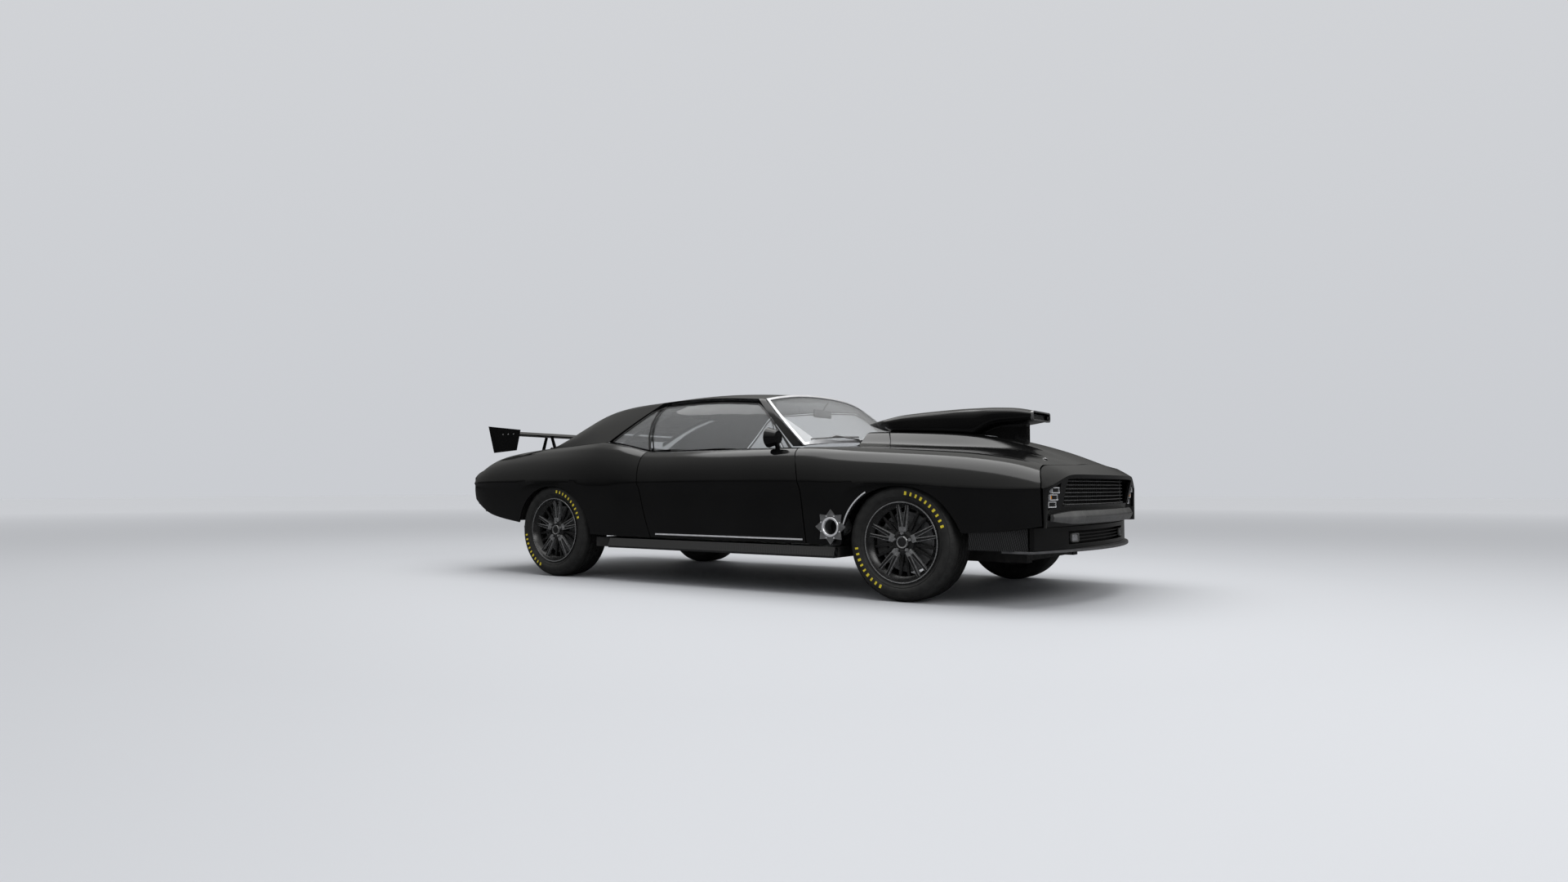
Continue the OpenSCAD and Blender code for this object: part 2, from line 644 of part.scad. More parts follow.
module rear_window() {
  rows = 6;
  cols = 10;
  inset = 0.8;
  P = [for (v = [0 : rows]) [for (k = [0 : cols])
    let (s = lerp(REAR_TOP + 0.02, REAR_FOOT - 0.02, v / rows), u = 1 - 2 * k / cols,
         e = roof_crown(s, 1 - window_edge), m = roof_crown(s, 1))
    [lerp(m[0], e[0], u * u), -u * (e[1] - inset), m[2] - (m[2] - e[2]) * pow(abs(u), 2.4)]]];
  color(tint) shell(inner(P, window_drop), inner(P, window_drop + glass_t), filled(P));
}

glass_in = 14;
glass_top_drop = roof_t * 0.75 + shut_gap;
glass_seat = 2.1;
divider_low = 3.18;
divider_high = 3.9;
// Glass grid between the stations a and b at the belt and c and d at the rail
function glass_grid(a, b, c, d, n) =
  [for (i = [0 : n]) [for (j = [0 : 4])
    let (g = j / 4, s = lerp(lerp(b, d, g), lerp(a, c, g), i / n), p = roof_side(s, g))
    [p[0], p[1] - glass_in, j == 4 ? p[2] - glass_top_drop : p[2]]]];
function on_top(P, lift) =
  [for (c = P) [for (j = [0 : len(c) - 1]) j == 0 ? [c[j][0], c[j][1], top_z(c[j][0]) + lift] : c[j]]];

module door_glass() {
  front = PILLAR_END + 0.06;
  P = glass_grid(front, divider_low - 0.02, front, divider_high - 0.03, 8);
  color(tint) sheet(on_top(P, glass_seat), glass_t);
}

module quarter_glass() {
  rear = SAIL_START - 0.06;
  P = glass_grid(divider_low + 0.02, rear, divider_high + 0.005, rear, 4);
  color(tint) both() sheet(on_top(P, glass_seat + 1), glass_t);
}

// Louvre over the rear window: a frame of rails and slats
louvre_slats = 6;
louvre_w = 900;
louvre_reach = 95;
louvre_t = 6;
louvre_rows = 12;
function glass_at(s, y) = roof_crown(s, 1 - y / roof_rail(s)[1]);
function louvre_s(t) = lerp(REAR_TOP + 0.25, REAR_FOOT - 0.3, t);

module louvre_rail(y) {
  L = [for (k = [0 : louvre_rows]) glass_at(louvre_s(k / louvre_rows), y)];
  translate([0, y + 8, 0]) rotate([90, 0, 0]) linear_extrude(16) polygon(concat(
    [for (p = L) [p[0], p[2] - window_drop + seam]],
    [for (k = [louvre_rows : -1 : 0]) [L[k][0], L[k][2] + 24]]));
}

module rear_louvre() {
  color(dark) union() {
    for (k = [0 : louvre_slats - 1]) {
      p = glass_at(louvre_s((k + 0.1) / louvre_slats), 0);
      translate([p[0], louvre_w / 2, p[2] + 12]) rotate([90, 0, 0]) linear_extrude(louvre_w) polygon([
        [0, 0], [0, louvre_t], [-louvre_reach, louvre_t - 26], [-louvre_reach, -26]]);
    }
    louvre_rail(0);
    both() louvre_rail(louvre_w / 2 - 8);
  }
}

// Cowl below the windshield
cowl_front = fx - 572;

module cowl() {
  rows = 5;
  cols = 12;
  P = [for (v = [0 : rows]) [for (k = [0 : cols])
    let (u = 2 * k / cols - 1, w = top_y(fx - 690) - 96,
         back = fx - 745 + 150 * (1 - u * u), x = lerp(cowl_front, min(back, cowl_front - 20), v / rows))
    [x, u * w, 846 + 22 * (1 - u * u)]]];
  color(paint) sheet(P, 40);
}

// Hood with a raised base for the scoop
hood_gap_x = fx + 793;
hood_rear = fx - 560;
HOOD_Y = [0, 0.15, 0.28, 0.34, 0.4, 0.46, 0.52, 0.76, 1];
hood_crown = 26;
BASE_SHARE = 1;
BASE = [
  [fx - 600, 1], [fx, 1.02], [fx + 240, 0.86], [fx + 400, 0.64],
  [fx + 560, 0.38], [fx + 680, 0.2], [fx + 793, 0.06]
];
function hood_front_x(y) = hood_gap_x - 0.00015 * y * y;
function hood_z(x, q) =
  top_z(x) + hood_crown * (1 - q * q)
  + hood_base_h * at(BASE, BASE_SHARE, x) * smooth((0.52 - abs(q)) / 0.22);
hood_cols = 16;
hood_half = len(HOOD_Y) - 1;
function hood_q(j) = j < hood_half ? -HOOD_Y[hood_half - j] : HOOD_Y[j - hood_half];
function hood_pt(t, j) =
  let (q = hood_q(j), ye = top_y(lerp(hood_front_x(q * 690), hood_rear, t)) - lid_gap,
       x = lerp(hood_front_x(q * ye), hood_rear, t))
  [x, q * ye, hood_z(x, q)];

module hood() {
  P = [for (i = [0 : hood_cols]) [for (j = [0 : 2 * hood_half]) hood_pt(i / hood_cols, j)]];
  color(paint) sheet(P, skin * 2);
}

// Forward-facing scoop on the hood base, open at the mouth
// Columns: x, half width share, top height, lift of the floor off the hood and roundness of the floor
SC_HALF = 1;
SC_TOP = 2;
SC_LIFT = 3;
SC_ROUND = 4;
SCOOP = [
  [fx - 632, 0.55, 1038, 42, 0.3],
  [fx - 560, 0.8, 1052, 22, 0.2],
  [fx - 480, 0.95, 1068, 0, 0.12],
  [fx - 360, 1, 1088, 0, 0.12],
  [fx - 12, 1, 1108, 0, 0.12],
  [fx + 130, 0.97, 1110, 0, 0.15],
  [fx + 190, 0.94, 1110, 40, 0.3],
  [fx + 250, 0.9, 1108, 66, 0.45],
  [fx + 380, 0.82, 1098, 106, 0.5],
  [fx + 475, 0.72, 1074, 148, 0.5]
];
scoop_points = 20;
scoop_seat = 0.9;
scoop_tail = fx - 632;
scoop_mouth = fx + 475;
function scoop_floor(x) = hood_z(x, 0) + scoop_seat + max(0, at(SCOOP, SC_LIFT, x));
function scoop_section(x, cut) =
  let (w = scoop_w / 2 * at(SCOOP, SC_HALF, x) - cut, t = at(SCOOP, SC_TOP, x) - cut,
       b = scoop_floor(x) + cut, h = (t - b) / 2, e = at(SCOOP, SC_ROUND, x))
  [for (k = [0 : scoop_points - 1])
    let (a = 360 * (k + 0.5) / scoop_points, c = cos(a), s = sin(a), p = s > 0 ? 0.5 : e)
    [x, w * sign(c) * pow(abs(c), p), b + h + h * sign(s) * pow(abs(s), p)]];
neck_front = fx + 392;
neck_rear = fx + 60;
neck_half = 105;

module hood_scoop() {
  color(paint) union() {
    difference() {
      loft([for (x = spread(scoop_tail, scoop_mouth, 22)) scoop_section(x, 0)]);
      loft([for (x = spread(fx + 230, scoop_mouth + 5, 6)) scoop_section(min(x, scoop_mouth), scoop_wall)
        + [for (k = [1 : scoop_points]) [max(0, x - scoop_mouth), 0, 0]]]);
    }
    loft([for (x = spread(neck_rear, neck_front, 8))
      let (w = neck_half * sqrt(clamp((neck_front + 12 - x) / 120)), b = hood_z(x, 0) + scoop_seat,
           t = max(scoop_floor(x) + 4, b + 20))
      [[x, -w, b], [x, w, b], [x, w, t], [x, -w, t]]]);
  }
}

// Nose panel with openings for the grille and the lamps
nose_x = fx + 888;
function nose_front_x(y) = nose_x - 0.00014 * y * y;
NOSE_Q = [0, 0.2, 0.4, 0.6, 0.8, 0.9, 1];
NOSE_W = [0.75, 0.5, 0.25, 0];
nose_low = 418;
nose_rake = 62;
nose_t = 14;
lip_z = 694;
// The rake and the high lip fade out towards the corners.
rake_end = half_w - 201;
corner_start = half_w - 385;
nose_half = len(NOSE_Q) + len(NOSE_W) - 1;
function nose_top(k) =
  k < len(NOSE_Q)
  ? let (y = NOSE_Q[k] * (top_y(fx + 760) - 4), x = hood_front_x(y) + shut_gap)
    [x, y, hood_z(x, NOSE_Q[k])]
  : let (w = NOSE_W[k - len(NOSE_Q)], s = (4 + 5 * w) / 9) side_above(fender_front(s) + 6.1, w);
NOSE_ROW = [0, 0.3, 0.4, 0.66, 0.92, 1];
top_rows = 3;
function nose_pt(k, r) =
  let (t = nose_top(k), y = min(t[1], half_w - 84), corner = smooth((y - corner_start) / 300),
       lip = lip_z - 74 * corner, f = nose_front_x(y))
  r < len(NOSE_ROW)
  ? let (v = NOSE_ROW[r], rake = nose_rake * (1 - smooth((y - rake_end) / 90)))
    [f - rake * (1 - v), y - 10 * corner * (1 - v), lerp(nose_low, lip, v)]
  : let (v = (r - len(NOSE_ROW) + 1) / top_rows, d = [f, y, lip])
    lerp(d, t, v) + [0, 0, 12 * v * (1 - v) * (1 - corner)];
nose_rows = len(NOSE_ROW) + top_rows - 1;
GRILLE_END = 5;
LAMP_START = 6;
LAMP_END = 8;

function nose_grid() =
  [for (i = [0 : 2 * nose_half]) [for (r = [0 : nose_rows])
    i <= nose_half ? nose_pt(nose_half - i, r) : let (p = nose_pt(i - nose_half, r)) [p[0], -p[1], p[2]]]];

// The edges of the back face end in line with the front face, along the fender and hood seams.
function nose_back(P, Q) =
  [for (i = [0 : len(P) - 1]) [for (r = [0 : nose_rows])
    let (p = P[i][r], q = Q[i][r])
    i == 0 || i == len(P) - 1 ? [p[0], p[1] - sign(p[1]) * nose_t * 0.8, q[2]]
    : r == nose_rows ? [p[0], q[1], q[2]] : q]];

module nose() {
  n = 2 * nose_half;
  P = nose_grid();
  K = [for (i = [0 : n - 1]) [for (r = [0 : nose_rows - 1])
    let (k = i < nose_half ? nose_half - 1 - i : i - nose_half)
    r >= 2 && r < 4 && (k < GRILLE_END || (k >= LAMP_START && k < LAMP_END)) ? 0 : 1]];
  color(paint) shell(P, nose_back(P, inner(P, nose_t)), K);
}

// Grille insert behind the nose opening
grille_bars = 6;
grille_w = 1130;
grille_curve = 3500;
grille_front = nose_x - 52;
grille_low = 531;
grille_high = 686;
bar_t = 5;

// Bent strip of the grille between two heights, from front back by depth
module grille_strip(front, depth, z0, z1) {
  intersection() {
    translate([front - depth - 120, -grille_w / 2, z0]) cube([depth + 140, grille_w, z1 - z0]);
    translate([front - grille_curve, 0, z0 - 1]) difference() {
      cylinder(r = grille_curve, h = z1 - z0 + 2, $fn = 96);
      translate([0, 0, -1]) cylinder(r = grille_curve - depth, h = z1 - z0 + 4, $fn = 96);
    }
  }
}

module grille() {
  color(dark) union() {
    grille_strip(grille_front - 18, 14, grille_low, grille_high);
    grille_strip(grille_front, 30, grille_low, grille_low + bar_t);
    for (k = [0 : grille_bars - 1])
      let (z = lerp(grille_low + 22, grille_high - 30, k / (grille_bars - 1)))
      grille_strip(grille_front - 2, 20, z, z + bar_t);
  }
}

// Headlamp covers behind the lamp openings
module headlamp_covers() {
  P = inner(nose_grid(), nose_t + seam);
  C = [for (i = [nose_half - LAMP_END : nose_half - LAMP_START]) [for (r = [2 : 4]) P[i][r]]];
  color(dark) both() sheet(C, 14);
}

// Bumpers are blades swept along the plan curve of each end.
function blade(x, y, z, h, d) =
  [[x - d, y, z - h / 2], [x - d * 0.3, y, z - h / 2], [x, y, z - h * 0.1], [x, y, z + h * 0.1],
   [x - d * 0.3, y, z + h / 2], [x - d, y, z + h / 2]];
front_bumper_x = fx + 892;
front_bumper_z = 466;
front_bumper_h = 70;
front_bumper_half = half_w - 225;
// Length at each end over which the blade thins out
bumper_taper = 150;
bumper_half = half_w - 95;

module front_bumper() {
  n = 16;
  color(grey) loft([for (k = [0 : n])
    let (y = lerp(front_bumper_half, -front_bumper_half, k / n),
         end = smooth((abs(y) - front_bumper_half + bumper_taper) / bumper_taper),
         x = front_bumper_x - 0.000125 * y * y - 32 * end, foot = nose_front_x(y) - nose_rake * 0.7 + seam)
    blade(x, y, front_bumper_z, front_bumper_h * (1 - 0.5 * end), x - foot)]);
}

splitter_tip = fx + front_overhang;
splitter_z = 284;
splitter_t = 12;
valance_low = splitter_z + splitter_t + seam;
function valance_x(y) = fx + 835 - 0.00016 * y * y;
valance_half = half_w - 115;
VALANCE_Y = [0, 0.2, 0.4, 0.6, 0.68, 0.84, 1];
VALANCE_ROW = [0, 0.2, 0.5, 0.78, 1];

module front_valance() {
  n = len(VALANCE_Y) - 1;
  top = nose_low - seam;
  P = [for (i = [-n : n]) [for (v = VALANCE_ROW)
    let (y = -sign(i) * VALANCE_Y[abs(i)] * valance_half)
    [valance_x(y), y, lerp(valance_low, top, v)]]];
  K = [for (i = [-n : n - 1]) [for (r = [0 : 3])
    let (k = i < 0 ? -i - 1 : i) r >= 1 && r < 3 && k < 3 ? 0 : 1]];
  color(paint) shell(P, inner(P, 30), K);
}

// Corner pieces close the side between the front arch and the valance, below the fender.
corner_rear = fx + arch_half + 22;
corner_front = valance_x(valance_half) - 33;
corner_tuck = 30;
corner_t = 24;

module front_corners() {
  n = 8;
  P = [for (i = [0 : n]) [for (v = [0 : 3])
    let (x = lerp(corner_rear, corner_front, i / n),
         tuck = corner_tuck * smooth((x - corner_front + 110) / 110),
         z = lerp(valance_low, at(SIDE, LOW_Z, x) - seam, v / 3))
    [x, half_w - at(SIDE, LOW_IN, x) - 8 - tuck, z]]];
  color(dark) both() sheet(P, corner_t);
}

// Radiator on the subframe rails, seen through the grille and the valance, with closing panels to the sides
radiator_x = fx + 470;
radiator_half = rail_y + 100;
radiator_h = 390;
radiator_t = 60;
tank_t = 46;
panel_half = half_w - 145;
panel_t = 8;

module radiator() {
  color(dark) translate([radiator_x, -radiator_half, rail_z + rail_h / 2 + seam]) union() {
    translate([radiator_t / 4, 0, 0]) cube([radiator_t / 2, 2 * radiator_half, radiator_h]);
    for (z = [0, radiator_h - tank_t]) translate([0, 0, z]) cube([radiator_t, 2 * radiator_half, tank_t]);
    for (y = [0, 2 * radiator_half - tank_t]) translate([0, y, 0]) cube([radiator_t, tank_t, radiator_h]);
    translate([(radiator_t - panel_t) / 2, radiator_half - panel_half, 0])
      cube([panel_t, 2 * panel_half, radiator_h]);
  }
}

splitter_back = fx + 560;

module splitter() {
  n = 16;
  w = half_w - 85;
  color(dark) translate([0, 0, splitter_z]) linear_extrude(splitter_t) polygon(concat(
    [for (k = [0 : n]) let (y = lerp(-w, w, k / n)) [splitter_tip - 0.00025 * y * y, y]],
    [[splitter_back, w], [splitter_back, -w]]));
}

// Rear end
tail_low = 598;
tail_high = 726;
// Stops under the trunk lid's rear edge
lid_stop_y = 404;
lid_stop_drop = 26.2;
function tail_plan(y) = rx - rear_overhang + 28 + 0.00005 * y * y;

// The tail panel's top runs under the lid's rear edge and, outside the lid, along the quarter panels.
TAIL_RIM = [for (r = [TOP_ROW - 4 : TOP_ROW]) let (p = side_pt(quarter_end, r)) [p[1], p[2]]];
function tail_top(y) = abs(y) <= top_y(lid_rear)
  ? lid_z(lid_rear, y / (top_y(lid_rear) - lid_gap)) - lid_t
  : lookup(abs(y), TAIL_RIM) - 2;
function tail_cols() = concat(spread(0, top_y(lid_rear), 5), [top_y(lid_rear) + lid_gap + 2],
  [for (k = [3 : -1 : 1]) TAIL_RIM[k][0]], [tail_w]);

module tail_panel() {
  half = tail_cols();
  cols = concat([for (i = [len(half) - 1 : -1 : 1]) -half[i]], half);
  P = [for (y = cols) [for (v = [0 : 3]) [tail_plan(y), y, lerp(tail_low, tail_top(y), v / 3)]]];
  Q = [for (c = P) [for (p = c) p + [tail_t, 0, 0]]];
  color(paint) union() {
    shell(P, Q, filled(P));
    both() translate([tail_plan(lid_stop_y) + tail_t - 3, lid_stop_y - 6, tail_high - 36])
      cube([lid_rear + 25 - tail_plan(lid_stop_y) - tail_t, 12,
        lid_z(lid_rear, 0.6) - lid_stop_drop - tail_high + 36]);
  }
}

module tail_lamps() {
  color(red) both() {
    P = [for (i = [0 : 6]) [for (v = [0 : 1])
      let (y = lerp(330, 760, i / 6), z = lerp(tail_low + 24, tail_high - 14, v))
      [tail_plan(y) - 14, y, z]]];
    sheet(P, 13.2);
  }
}

rear_bumper_z = 545;
rear_bumper_h = 95;

module rear_bumper() {
  n = 16;
  color(grey) loft([for (k = [0 : n])
    let (y = lerp(-bumper_half - 2.1, bumper_half + 2.1, k / n), c = smooth((abs(y) - bumper_half + 90) / 90))
    [for (p = blade(rear_overhang - rx - 0.00006 * y * y - 40 * c, y, rear_bumper_z, rear_bumper_h, 72))
      [-p[0], p[1], p[2]]]]);
}

module rear_valance() {
  n = 10;
  w = half_w - 160;
  P = [for (i = [0 : n]) [for (v = [0 : 2])
    let (y = lerp(-w, w, i / n))
    [tail_plan(y) + 40, y, lerp(440, rear_bumper_z - rear_bumper_h / 2 - seam, v / 2)]]];
  color(paint) sheet(P, 26);
}

// Sheets beside the trunk floor, behind the wheel houses, up to the quarter panels' lower edges
module trunk_sides() {
  n = 5;
  P = [for (i = [0 : n])
    let (x = lerp(tail_x + 125, rx - liner_r - liner_t - 6, i / n), p = side_pt(x, 0))
    [[x, rear_floor_w / 2 + seam, boot_floor_z - 2], [x, p[1] - skin - 10, max(boot_floor_z - 2, p[2] + 14)]]];
  color(dark) both() sheet(P, 5);
}

module side_skirts() {
  color(dark) both() translate([rx + arch_half + 185, 0, 0]) rotate([90, 0, 90])
    linear_extrude(wheelbase - 2 * arch_half - 225) polygon([
      [sill_out + seam, floor_z + 20], [half_w - 18, floor_z + 8], [half_w - 14, floor_z + 20],
      [half_w - 34, sill_top], [sill_out + seam, sill_top]]);
}

// Trunk lid and wing
lid_front = rx - 296;
lid_rear = rx - 925;
lid_crown = 22;
lid_t = 30;

module trunk_lid() {
  n = 9;
  cols = 10;
  P = [for (i = [0 : n]) [for (k = [0 : cols])
    let (x = lerp(lid_front, lid_rear, i / n), u = 2 * k / cols - 1)
    [x, u * (top_y(x) - lid_gap), lid_z(x, u)]]];
  color(paint) sheet(P, lid_t);
}

function lid_z(x, u) = top_z(x) + lid_crown * (1 - u * u);

wing_x = rx - 700;
wing_z = 1035;
wing_t = 22;
plate_t = 8;
stand_y = 330;

module wing() {
  color(paint) union() {
    translate([wing_x, -wing_span / 2, wing_z]) rotate([-90, 0, 0]) linear_extrude(wing_span) polygon([
      [wing_chord * 0.5, 6], [wing_chord * 0.3, -6], [-wing_chord * 0.1, -4], [-wing_chord * 0.5, -26],
      [-wing_chord * 0.5, -20], [-wing_chord * 0.1, wing_t - 6], [wing_chord * 0.3, wing_t - 2]]);
    both() translate([wing_x, wing_span / 2, wing_z]) rotate([-90, 0, 0]) linear_extrude(plate_t) polygon([
      [130, -25], [-235, -62], [-165, 145], [90, 130]]);
    both() for (d = [-60, 60]) {
      b = lid_z(wing_x + d * 1.4 + 14, stand_y / 690) + seam - 0.5;
      hull() {
        translate([wing_x + d * 1.4 - 14, stand_y - 6, b]) cube([28, 12, 4]);
        translate([wing_x + d * 0.5 - 10, stand_y - 6, wing_z - wing_t / 2]) cube([20, 12, 4]);
      }
    }
  }
}

// Inner fenders over the front and the rear wheels
liner_r = tyre_r + 62;
liner_t = 10;

module liner(c, y0, y1, low) {
  difference() {
    across(y0, y1, c, tyre_r, liner_r + liner_t);
    across(y0 + liner_t, y1 + 10, c, tyre_r, liner_r);
    translate([c - 600, y0 - 10, -200]) cube([1200, y1 - y0 + 20, 200 + low]);
  }
}

// Cone from a liner's crown out to the panel's inner face, and its share of the side's height
tab_r = 14;
tab_tip = 3;
front_tab = 0.3;
rear_tab = 0.3;
stop_y = 690;
tower_top = 500;

module liner_tab(c, t) {
  p = side_above(c, t);
  hull() {
    translate([c - tab_r, half_w - 90, tyre_r + liner_r + 1]) cube([2 * tab_r, 15, liner_t - 2]);
    translate([c - tab_tip, p[1] - skin * 1.5 - tab_tip, p[2] - 1]) cube([2 * tab_tip, tab_tip, 2]);
  }
}

module inner_fenders() {
  color(dark) both() {
    liner(rx, rear_floor_w / 2 + seam, half_w - 70, tyre_r + 60);
    liner_tab(rx, rear_tab);
    union() {
      liner(fx, rail_y + 60, half_w - 70, arm_high + 65);
      liner_tab(fx, front_tab);
      translate([fx - 40, rail_y + 20 + seam, tower_top - 20]) cube([80, 45, 120]);
      translate([fx, stop_y, tyre_r + liner_r + 2])
        cylinder(r1 = tab_r, r2 = 2 * tab_tip,
          h = hood_z(fx, stop_y / (top_y(fx) - lid_gap)) - 2 * skin - 2 * seam - tyre_r - liner_r - 2);
    }
  }
}

// Cabin
module dashboard() {
  wheel_c = [fx - 940, 370, 760];
  color(dark) union() {
    translate([0, sill_in - 30, 0]) rotate([90, 0, 0]) linear_extrude(2 * sill_in - 60) polygon([
      [firewall_x - seam, 560], [firewall_x - seam, 780], [fx - 640, 804.5], [fx - 770, 808.5],
      [fx - 815, 785], [fx - 830, 715], [fx - 780, 640]]);
    translate(wheel_c) rotate([0, -65, 0]) {
      rotate_extrude() translate([178, 0]) circle(r = 13, $fn = 16);
      cylinder(r = 45, h = 24, center = true);
      translate([-6, -180, -6]) cube([12, 360, 12]);
      translate([0, 0, -150]) cylinder(r = 24, h = 150);
    }
  }
}

seat_y = (sill_in + tunnel_w / 2) / 2 - 38;
seat_w = sill_in - tunnel_w / 2 - 120;

module seat_shape(w) {
  rotate([90, 0, 0]) linear_extrude(w) polygon([
    [fx - 960, 330], [fx - 940, 400], [fx - 975, 450], [fx - 1380, 420], [fx - 1530, 880], [fx - 1600, 890],
    [fx - 1640, 860], [fx - 1500, 360], [fx - 1440, 310]]);
}

module front_seats() {
  color(rubber) both() union() {
    translate([0, seat_y + seat_w / 2, 0]) seat_shape(seat_w);
    for (y = [-0.36, 0.36] * seat_w) translate([fx - 1440, seat_y + y - 15, floor_z + floor_t + seam])
      cube([420, 30, 340 - floor_z - floor_t]);
  }
}

// Rear bench over the tunnel, with its back against the axle floor
bench_low = floor_z + tunnel_h + seam + 40;

module rear_seat() {
  w = rear_floor_w - 40;
  color(rubber) translate([0, w / 2, 0]) rotate([90, 0, 0]) linear_extrude(w) polygon([
    [kick_x + 400, bench_low], [kick_x + 400, bench_low + 70], [kick_x + 370, bench_low + 90],
    [kick_x + 20, bench_low + 70], [kick_x - 130, 880], [kick_x - 220, 880],
    [kick_x - 200, axle_floor_z + seam], [kick_x, axle_floor_z + seam], [kick_x + 30, bench_low]]);
}

floor_pan();
subframe();
control_arms();
inner_fenders();
front_fenders();
quarter_panels();
roof();
cowl();
nose();
grille();
headlamp_covers();
front_bumper();
front_valance();
front_corners();
splitter();
radiator();
trunk_sides();
tail_panel();
tail_lamps();
rear_bumper();
rear_valance();
side_skirts();
windshield();
rear_window();
quarter_glass();
rear_louvre();
dashboard();
front_seats();
rear_seat();
engine();
exhausts();
rear_axle();
leaf_springs();
driveshaft();
fuel_tank();
mirror([0, 1, 0]) door();  // door_right
door();  // door_left
mirror([0, 1, 0]) door_glass();  // door_glass_right
door_glass();  // door_glass_left
hood();
hood_scoop();
trunk_lid();
wing();
mirror([0, 1, 0]) knuckle();  // knuckle_right
knuckle();  // knuckle_left
at_wheel(fx, -1) wheel(stub_d / 2 + bearing_gap);  // wheel_fr
at_wheel(fx, 1) wheel(stub_d / 2 + bearing_gap);  // wheel_fl
at_wheel(rx, -1) wheel(stub_d / 2 + bearing_gap);  // wheel_rr
at_wheel(rx, 1) wheel(stub_d / 2 + bearing_gap);  // wheel_rl
at_wheel(fx, -1) tyre();  // tyre_fr
at_wheel(fx, 1) tyre();  // tyre_fl
at_wheel(rx, -1) tyre();  // tyre_rr
at_wheel(rx, 1) tyre();  // tyre_rl
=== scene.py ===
import math

import bmesh
import bpy
from mathutils import Matrix, Vector
from mathutils.bvhtree import BVHTree


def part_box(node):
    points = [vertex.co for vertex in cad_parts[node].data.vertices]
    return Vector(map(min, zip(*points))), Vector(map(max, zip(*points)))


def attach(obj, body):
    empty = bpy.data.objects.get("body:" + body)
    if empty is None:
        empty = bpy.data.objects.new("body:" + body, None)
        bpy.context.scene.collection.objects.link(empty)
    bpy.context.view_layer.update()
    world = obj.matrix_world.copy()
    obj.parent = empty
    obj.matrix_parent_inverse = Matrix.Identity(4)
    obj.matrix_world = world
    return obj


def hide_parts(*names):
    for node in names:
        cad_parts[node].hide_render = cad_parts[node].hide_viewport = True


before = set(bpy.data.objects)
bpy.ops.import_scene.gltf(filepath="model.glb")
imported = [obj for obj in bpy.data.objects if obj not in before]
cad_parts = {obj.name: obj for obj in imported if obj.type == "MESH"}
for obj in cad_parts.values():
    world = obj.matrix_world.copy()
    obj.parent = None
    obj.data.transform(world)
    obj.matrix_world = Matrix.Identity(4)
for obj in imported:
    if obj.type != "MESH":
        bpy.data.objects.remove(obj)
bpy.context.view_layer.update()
scene = bpy.context.scene

# Places and sizes in metres, in the frame of the car: +X forward, +Y left, +Z up
FRONT_AXLE = 1.4175
REAR_AXLE = -1.3255
WHEEL_Y = 0.7955
TYRE_R = 0.325
TYRE_W = 0.245
TREAD_BLOCKS = 72
TREAD_SLANT = 9.0
TREAD_BAND = 0.022
GROOVES = (0.056, 0.019)
GROOVE_DEPTH = 0.008
RIB_RADII_AND_PLACES = ((0.246, 0.1152), (0.297, 0.1163))
MARK_ROWS = ((8.0, 10), (206.0, 9))
MARK_PITCH = 6.9
MARK_R = 0.271
SPOKES = 5
SPOKE_PITCH = 360.0 / SPOKES
SPOKE_SPLIT = 8.0
BACK_SPOKE_SPLIT = 12.5
FRONT_SPOKE = dict(
    inner=0.058, outer=0.213, wide_in=0.025, wide_out=0.016, front=0.088, back=0.064, round_by=0.0025)
SPOKE_FACE = dict(
    inner=0.085, outer=0.2125, wide_in=0.0165, wide_out=0.0095, front=0.0886, back=0.070, round_by=0.0012)
BACK_SPOKE = dict(
    inner=0.05, outer=0.203, wide_in=0.020, wide_out=0.015, front=0.066, back=0.045, round_by=0.002)
DISC_SLOTS = 18
ARCH_HALF = 0.372
ARCH_FOOT = 0.25
ARCH_POWER = 2.2
FRONT_ARCH_TOP = 0.637
HALF_W = 0.945
EXHAUST_X = 0.9895
EXHAUST_Z = 0.400
FIREWALL_X = 0.91
LAMP_ROWS = (0.536, 0.573, 0.610)
MARKER_ROW = LAMP_ROWS[1]
LAMP_Y = (0.678, 0.750)
GRILLE_MID_Z = 0.611
GRILLE_LINES_Z = (0.553, 0.656)
GRILLE_CORNERS = (
    (0.555, 0.548), (0.555, 0.664), (0.540, 0.679), (-0.540, 0.679), (-0.555, 0.664),
    (-0.555, 0.548), (-0.540, 0.534), (0.540, 0.534), (0.555, 0.548))
TAIL_LAMPS_Y = (0.405, 0.545, 0.685)
INTAKE_BARS_Z = (0.334, 0.352, 0.370)
PARK_LAMP_Y = 0.43
FRONT_SEAT_Y = 0.392
BENCH_Y = 0.285
CUSHION_TILT = -4.0
BACK_TILT = -18.0
DIALS = ((0.30, 0.052), (0.44, 0.052), (0.0, 0.034))
DIALS_Z = 0.735
SIDES = (("right", -1), ("left", 1))
WHEELS = (
    ("fr", FRONT_AXLE, -1), ("fl", FRONT_AXLE, 1), ("rr", REAR_AXLE, -1), ("rl", REAR_AXLE, 1),
)


# Shader groups

def new_group(name, inputs, outputs):
    group = bpy.data.node_groups.new(name, "ShaderNodeTree")
    for label, value in inputs:
        socket = group.interface.new_socket(label, in_out="INPUT", socket_type="NodeSocketFloat")
        socket.default_value = value
    for label, kind in outputs:
        group.interface.new_socket(label, in_out="OUTPUT", socket_type=kind)
    return group, group.nodes.new("NodeGroupInput"), group.nodes.new("NodeGroupOutput")


